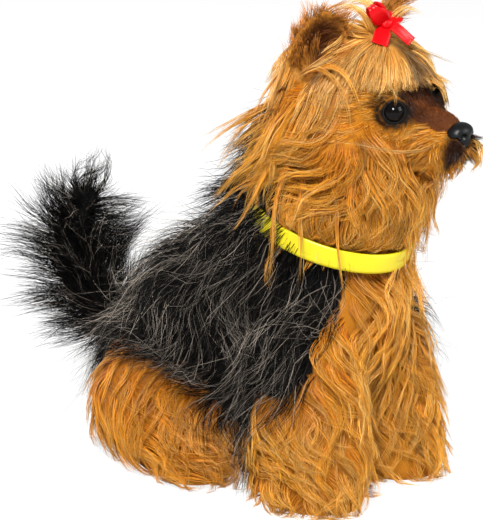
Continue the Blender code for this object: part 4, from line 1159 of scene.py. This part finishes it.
# Operators
class TERRIER_OT_skin(bpy.types.Operator):
    """Build the one skin that the coat grows on"""

    bl_idname = "terrier.skin"
    bl_label = "Skin"

    def execute(self, context):
        bm = bmesh.new()
        for name in ("torso", "neck", "head", "muzzle", "haunch"):
            for centre, half in PARTS[name]:
                add_form(bm, centre, half, NECK_LEAN if name == "neck" else 0.0)
        for hand in HANDS.values():
            foot, top = on_side(hand, FORELEG_FOOT), on_side(hand, FORELEG_TOP)
            rings = [frame_at(foot.lerp(top, rise), Vector((1, 0, 0)), Vector((0, 1, 0)), x * MM, y * MM)
                     for rise, x, y in FORELEG_RINGS]
            add_rings(bm, rings, 32)
        points = [place(*point) for point in TAIL_LINE]
        for k in range(len(points) - 1):
            for part in np.linspace(0, 1, 5):
                radius = (TAIL_RADII[k] + (TAIL_RADII[k + 1] - TAIL_RADII[k]) * part) * MM
                bmesh.ops.create_icosphere(bm, subdivisions=3, radius=radius,
                                           matrix=Matrix.Translation(points[k].lerp(points[k + 1], part)))
        for hand in HANDS.values():
            self.add_ear(bm, hand)
            add_rings(bm, socket_frames(hand, SOCKET_REACH, SOCKET_RISE, SOCKET_RADIUS, 28), 12, closed=True)
        skin = melt(object_from(bm, "skin"), context.scene.terrier_trim.skin_voxel / MM, 5)
        bm = bmesh.new()
        bm.from_mesh(skin.data)
        for vert in bm.verts:
            vert.co.z = max(vert.co.z, SKIN_FLOOR * MM)
        bm.to_mesh(skin.data)
        bm.free()
        self.unwrap(context, skin)
        self.mark(skin, palette_from(context.scene.terrier_colours))
        skin.data.materials.append(skin_material())
        ride(skin, "tan_coat", "torso", "neck", "head", "tail", "topknot", "foreleg_left", "foreleg_right",
             "hindleg_left", "hindleg_right", "ear_left", "ear_right")
        return {"FINISHED"}

    def add_ear(self, bm, hand):
        """A cupped leaf, thickened and pointed at its tip."""
        base, tip = on_side(hand, EAR_BASE), on_side(hand, EAR_TIP)
        rise = (tip - base).normalized()
        face = along(towards(0.62 * hand, 0.78, 0.1), rise)
        across = rise.cross(face).normalized()
        leaf = bmesh.new()
        bmesh.ops.create_grid(leaf, x_segments=16, y_segments=20, size=1)
        for vert in leaf.verts:
            u, v = vert.co.x, (vert.co.y + 1) / 2
            width = (1.06 - 0.1 * v) * math.cos(v ** 2.6 * math.pi / 2) ** 0.75 if v < 1 else 0
            dip = EAR_CUP * (1 - u * u) * max(width, 0.05)
            rising = -0.25 + 1.25 * v
            vert.co = base.lerp(tip, rising) + across * (u * EAR_WIDTH * width * MM) - face * (dip * MM)
        bmesh.ops.remove_doubles(leaf, verts=leaf.verts[:], dist=0.2 * MM)
        bmesh.ops.recalc_face_normals(leaf, faces=leaf.faces[:])
        bmesh.ops.solidify(leaf, geom=leaf.faces[:], thickness=EAR_WALL * MM)
        mesh = bpy.data.meshes.new("leaf")
        leaf.to_mesh(mesh)
        leaf.free()
        bm.from_mesh(mesh)
        bpy.data.meshes.remove(mesh)

    def unwrap(self, context, skin):
        """Flattens the skin's own shape into the map that the coat's roots are found on."""
        skin.data.uv_layers.new(name="OFBake")
        for other in context.selected_objects:
            other.select_set(False)
        skin.select_set(True)
        context.view_layer.objects.active = skin
        bpy.ops.object.mode_set(mode="EDIT")
        bpy.ops.mesh.select_all(action="SELECT")
        bpy.ops.uv.smart_project(angle_limit=math.radians(66), island_margin=0.003)
        bpy.ops.object.mode_set(mode="OBJECT")
        skin.select_set(False)

    def mark(self, skin, palette):
        """Gives the skin the coat's own markings, darker than the hair as painted shade under the coat."""
        mesh = skin.data
        points, normals = np.empty((len(mesh.vertices), 3)), np.empty((len(mesh.vertices), 3))
        mesh.vertices.foreach_get("co", points.ravel())
        mesh.vertex_normals.foreach_get("vector", normals.ravel())
        root, tip = markings(to_mm(points), regions_at(to_mm(points), normals * (1, -1, 1)), palette)
        colour = np.concatenate([root * BACKING_SHADE_ROOT + tip * BACKING_SHADE_TIP, np.ones((len(points), 1))], axis=1)
        tint = mesh.color_attributes.new("hair_colour", "FLOAT_COLOR", "POINT")
        tint.data.foreach_set("color", colour.astype(np.float32).ravel())


class TERRIER_OT_coat(bpy.types.Operator):
    """Grow one piece of the coat on the skin"""

    bl_idname = "terrier.coat"
    bl_label = "Coat"

    piece: StringProperty(name="Piece", description="Which piece of the coat", default="coat_back")

    def execute(self, context):
        coat = context.scene.terrier_coat
        palette = palette_from(context.scene.terrier_colours)
        rng = np.random.default_rng(coat.seed + list(COAT_PIECES).index(self.piece))
        hide = the_hide()
        jobs = []
        hand = HANDS.get(self.piece.rsplit("_", 1)[1], 0)
        for region in COAT_PIECES[self.piece]:
            kind = "grizzle" if self.piece == "coat_grizzle" else region
            growth = GROWTHS[kind]
            jobs.append((kind, region, growth, *lay_locks(hide, growth, region, hand, coat, rng), None))
        for lock in LOCKS.get(self.piece, ()):
            growth = Growth(0, lock.hairs, 0, lock.width, 0, lock.clump, steps=7)
            jobs.append((lock.region, lock.region, growth, *lay_by_hand(hide, lock, rng), lock.spread))
        batches = []
        for kind, region, growth, paths, outs, spread in jobs:
            if not len(paths):
                raise RuntimeError(f"{self.piece}: no skin found for {region}")
            grown = grow_hairs(hide, growth, paths, outs, coat, rng, spread)
            points, normals, widths, roots, patches, tone = grown
            share = np.linspace(0, 1, points.shape[1])
            colour = hair_colours(kind, region, roots, share, tone, palette, rng)
            batches.append((points, normals, widths, patches, colour))
        obj = hair_mesh(self.piece, batches)
        dark = self.piece in DARK_PIECES
        name = "pile_black" if dark else "pile_tan"
        obj.data.materials.append(bpy.data.materials.get(name)
                                  or pile_material(name, 0.06 if dark else 0.2, 0.5 if dark else 0.36))
        ride(obj, "dark_coat" if dark else "tan_coat")
        return {"FINISHED"}


class TERRIER_OT_eyes(bpy.types.Operator):
    """Set the bead eyes and the dark rims round them"""

    bl_idname = "terrier.eyes"
    bl_label = "Eyes"

    def execute(self, context):
        bead, lid = bead_material(), lid_material()
        radius = context.scene.terrier_trim.lid_radius
        for word, hand in HANDS.items():
            centre = on_side(hand, EYE_AT)
            bm = bmesh.new()
            bmesh.ops.create_uvsphere(bm, u_segments=48, v_segments=32, radius=EYE_RADIUS * MM,
                                      matrix=Matrix.Translation(centre))
            eye = object_from(bm, f"bead_{word}")
            eye.data.materials.append(bead)
            ride(eye, "eye_bead", f"eye_{word}")
            bm = bmesh.new()
            loops = []
            for reach, rise, corner in LID_LOOPS:
                verts = bmesh.ops.create_circle(bm, segments=64, radius=1)["verts"]
                for vert, point in zip(verts, eye_loop(hand, reach, rise, 64, corner)):
                    vert.co = point
                loops.append(edges_of(verts))
            bridge(bm, loops)
            bmesh.ops.recalc_face_normals(bm, faces=bm.faces[:])
            bmesh.ops.solidify(bm, geom=bm.faces[:], thickness=radius)
            bmesh.ops.recalc_face_normals(bm, faces=bm.faces[:])
            rim = object_from(bm, f"lid_{word}")
            rim.data.materials.append(lid)
            ride(rim, "eye_bead")
        return {"FINISHED"}


class TERRIER_OT_nose(bpy.types.Operator):
    """Mould the nose pad with its nostrils and groove"""

    bl_idname = "terrier.nose"
    bl_label = "Nose"

    def execute(self, context):
        nose = melt(self.shape("nose_pad", mirrored(NOSE_PADS)), 0.4, 3)
        for hand in HANDS.values():
            forms = [((side * hand, forward, up), half) for (side, forward, up), half in NOSTRIL]
            cut_away(nose, melt(self.shape("nostril", forms), 0.3, 2))
        cut_away(nose, self.shape("groove", [GROOVE]))
        nose = melt(nose, 0.35, 3)
        nose.data.materials.append(nose_material())
        ride(nose, "nose_moulding", "nose")
        return {"FINISHED"}

    def shape(self, name, forms):
        """Forms set by their offsets from the nose's middle."""
        bm = bmesh.new()
        for offset, half in forms:
            add_form(bm, [at + by for at, by in zip(NOSE_AT, offset)], half)
        return object_from(bm, name)


class TERRIER_OT_strap(bpy.types.Operator):
    """Close the strap round the foot of the neck"""

    bl_idname = "terrier.strap"
    bl_label = "Strap"

    def execute(self, context):
        trim = context.scene.terrier_trim
        middle, sides = place(*COLLAR_CENTRE), 120
        half_wall, half_width = trim.strap_wall / 2, trim.strap_width / 2
        reach = half_wall / MM + 0.5
        bm = bmesh.new()
        rings = []
        for k in range(sides):
            angle = 2 * math.pi * k / sides
            out = (Vector((math.cos(angle), 0, 0)) + NECK_ALONG * math.sin(angle)).normalized()
            at = middle + (Vector((NECK_RADIUS + reach, 0, 0)) * math.cos(angle)
                           + NECK_ALONG * ((NECK_DEPTH + reach) * math.sin(angle))) * MM
            where = frame_at(at, out, NECK_AXIS, half_wall, half_width)
            ring = bmesh.ops.create_circle(bm, segments=20, radius=1, matrix=where)["verts"]
            for vert in ring:
                vert.co = self.squared(vert.co - at, at, out, half_wall, half_width)
            rings.append(edges_of(ring))
        bridge(bm, rings, closed=True)
        bmesh.ops.recalc_face_normals(bm, faces=bm.faces[:])
        strap = object_from(bm, "neck_strap")
        strap.data.materials.append(strap_material(tuple(context.scene.terrier_colours.strap)))
        ride(strap, "strap", "collar")
        return {"FINISHED"}

    def squared(self, local, at, out, half_wall, half_width):
        """A point of an ellipse moved out to a band with round corners and a raised lip at each edge."""
        a, b = local.dot(out) / half_wall, local.dot(NECK_AXIS) / half_width
        scale = (abs(a) ** 6 + abs(b) ** 6) ** (-1 / 6)
        lip = 0.12 * math.exp(-((abs(b * scale) - 0.88) / 0.06) ** 2) * (a > 0)
        return at + out * ((a * scale + lip) * half_wall) + NECK_AXIS * (b * scale * half_width)


class TERRIER_OT_ribbon(bpy.types.Operator):
    """Tie the ribbon: a knot, two loops and two ends"""

    bl_idname = "terrier.ribbon"
    bl_label = "Ribbon"

    def execute(self, context):
        trim = context.scene.terrier_trim
        knot_at = place(*BOW_KNOT)
        lines = [line for side in BOW_SIDES for line in (self.loop(side, knot_at), self.end(side, knot_at))]
        ribbon = self.join([self.strip(line, trim.ribbon_width) for line in lines])
        solid = ribbon.modifiers.new("wall", "SOLIDIFY")
        solid.thickness = trim.ribbon_wall
        solid.offset = 0
        settle(ribbon)
        ribbon.name = "ribbon_bow"
        satin = satin_material(tuple(context.scene.terrier_colours.ribbon))
        ribbon.data.materials.append(satin)
        ride(ribbon, "ribbon", "bow_loop_left", "bow_loop_right", "bow_end_left", "bow_end_right")
        bm = bmesh.new()
        add_form(bm, BOW_KNOT, (4.2, 3.6, 3.6))
        for vert in bm.verts:
            fold = 1 + 0.06 * math.sin(vert.co.x / MM * 4 + vert.co.z / MM)
            vert.co = knot_at + (vert.co - knot_at) * fold
        knot = object_from(bm, "ribbon_knot")
        knot.data.uv_layers.new(name="weave")
        knot.data.materials.append(satin)
        ride(knot, "ribbon", "bow_knot")
        return {"FINISHED"}

    def loop(self, side, knot_at):
        """The line of a loop, from the knot and back to it."""
        lift = along(side.lift, side.out)
        depth = side.out.cross(lift).normalized()
        line = []
        for k in range(LOOP_POINTS + 1):
            angle = math.pi + 2 * math.pi * k / LOOP_POINTS
            reach = (LOOP_MIDDLE + LOOP_HALF * math.cos(angle)) * side.size
            swell = LOOP_SWELL * math.sin(angle) * (0.3 + 0.7 * reach / LOOP_LENGTH)
            pinch = 0.3 + 0.85 * math.sin(reach / side.size / LOOP_LENGTH * 2.95)
            line.append((knot_at + (side.out * reach + lift * swell) * MM, depth, pinch))
        return line

    def end(self, side, knot_at):
        """The line of a loose end."""
        line = []
        for s in np.linspace(1.5, side.reach, 18):
            sway = Vector((0, 0, math.sin(s / 4)))
            across = side.across + Vector((0, 0, 0.25)) * math.sin(s / 5)
            line.append((knot_at + (side.drop * s + sway) * MM, across, 0.5 + side.spread * ramp(s, 2, 8)))
        return line

    def strip(self, line, width):
        """A strip of ribbon along a line of (point, direction across, share of its width)."""
        count = len(line)
        bm = bmesh.new()
        weave = bm.loops.layers.uv.new("weave")
        bmesh.ops.create_grid(bm, x_segments=6, y_segments=count - 1, size=0.5)
        for face in bm.faces:
            for loop in face.loops:
                loop[weave].uv = ((loop.vert.co.x + 0.5) * width / MM, (loop.vert.co.y + 0.5) * count)
        for vert in bm.verts:
            k = round((vert.co.y + 0.5) * (count - 1))
            point, across, pinch = line[k]
            run = (line[min(k + 1, count - 1)][0] - line[max(k - 1, 0)][0]).normalized()
            flat = along(across, run)
            crease = run.cross(flat) * (0.5 * MM * (1 - pinch) * math.cos(vert.co.x * 4 * math.pi))
            vert.co = point + flat * (vert.co.x * width * pinch) + crease
        return object_from(bm, "strip")

    def join(self, pieces):
        """The strips as one mesh."""
        bm = bmesh.new()
        for piece in pieces:
            bm.from_mesh(piece.data)
            remove(piece)
        return object_from(bm, "ribbon")


class TERRIER_OT_stage(bpy.types.Operator):
    """Set the floor, the lights and the camera"""

    bl_idname = "terrier.stage"
    bl_label = "Stage"

    def execute(self, context):
        scene = context.scene
        bm = bmesh.new()
        bmesh.ops.create_grid(bm, x_segments=2, y_segments=2, size=6)
        floor = object_from(bm, "floor")
        pale = new_material("pale_floor", (0.2, 0.2, 0.2), 0.9, Specular_IOR_Level=0.1,
                            Emission_Color=(1, 1, 1, 1), Emission_Strength=0.8)[0]
        floor.data.materials.append(pale)
        world = bpy.data.worlds.new("studio")
        world.use_nodes = True
        light = world.node_tree.nodes["Background"].inputs
        light["Color"].default_value = (1, 1, 1, 1)
        light["Strength"].default_value = 0.35
        scene.world = world
        scene.view_settings.view_transform = "Standard"
        for name, (at, size, power) in LAMPS.items():
            lamp = bpy.data.lights.new(name, "AREA")
            lamp.size, lamp.energy = size, power
            self.stand(link(name, lamp), Vector(at), Vector(at) - Vector(LIT_POINT))
        scene.camera = self.camera()
        return {"FINISHED"}

    def stand(self, obj, at, back):
        """Puts a lamp or the camera at a place, with its back turned to a direction."""
        obj.location = at
        obj.rotation_mode = "QUATERNION"
        obj.rotation_quaternion = back.to_track_quat("Z", "Y")

    def camera(self):
        """The photograph's view: a point of the floor under the chest is held at one pixel."""
        turn, rise = math.radians(CAMERA_TURN), math.radians(CAMERA_RISE)
        back = Vector((math.sin(turn) * math.cos(rise), -math.cos(turn) * math.cos(rise), math.sin(rise)))
        right = Vector((math.cos(turn), math.sin(turn), 0))
        aside, down = HELD_PIXEL[0] - PHOTO_WIDTH / 2, HELD_PIXEL[1] - PHOTO_HEIGHT / 2
        centre = place(*HELD_POINT) - right * (aside * PIXEL) + back.cross(right) * (down * PIXEL)
        data = bpy.data.cameras.new("camera")
        data.sensor_width = SENSOR
        data.lens = SENSOR * CAMERA_DISTANCE / (PHOTO_HEIGHT * PIXEL)
        data.clip_start, data.clip_end = 0.01, 50
        camera = link("camera", data)
        self.stand(camera, centre + back * CAMERA_DISTANCE, back)
        return camera


class TERRIER_PT_panel(bpy.types.Panel):
    """Lists the settings and the steps"""

    bl_label = "Toy Terrier"
    bl_idname = "TERRIER_PT_panel"
    bl_space_type = "VIEW_3D"
    bl_region_type = "UI"
    bl_category = "Toy Terrier"

    def draw(self, context):
        column = self.layout.column()
        for group in (context.scene.terrier_colours, context.scene.terrier_coat, context.scene.terrier_trim):
            for name in group.__annotations__:
                column.prop(group, name)
        column.operator("terrier.skin")
        for piece in COAT_PIECES:
            column.operator("terrier.coat", text=piece.replace("_", " ")).piece = piece
        for step in ("eyes", "nose", "strap", "ribbon", "stage"):
            column.operator(f"terrier.{step}")


CLASSES = (TerrierColours, TerrierCoat, TerrierTrim, TERRIER_OT_skin, TERRIER_OT_coat, TERRIER_OT_eyes,
           TERRIER_OT_nose, TERRIER_OT_strap, TERRIER_OT_ribbon, TERRIER_OT_stage, TERRIER_PT_panel)


def register():
    for cls in CLASSES:
        bpy.utils.register_class(cls)
    bpy.types.Scene.terrier_colours = PointerProperty(type=TerrierColours)
    bpy.types.Scene.terrier_coat = PointerProperty(type=TerrierCoat)
    bpy.types.Scene.terrier_trim = PointerProperty(type=TerrierTrim)


def unregister():
    for name in ("terrier_colours", "terrier_coat", "terrier_trim"):
        delattr(bpy.types.Scene, name)
    for cls in reversed(CLASSES):
        bpy.utils.unregister_class(cls)


def main():
    register()
    bpy.ops.terrier.skin()
    for piece in COAT_PIECES:
        bpy.ops.terrier.coat(piece=piece)
    bpy.ops.terrier.eyes()
    bpy.ops.terrier.nose()
    bpy.ops.terrier.strap()
    bpy.ops.terrier.ribbon()
    bpy.ops.terrier.stage()


if __name__ == "__main__":
    main()
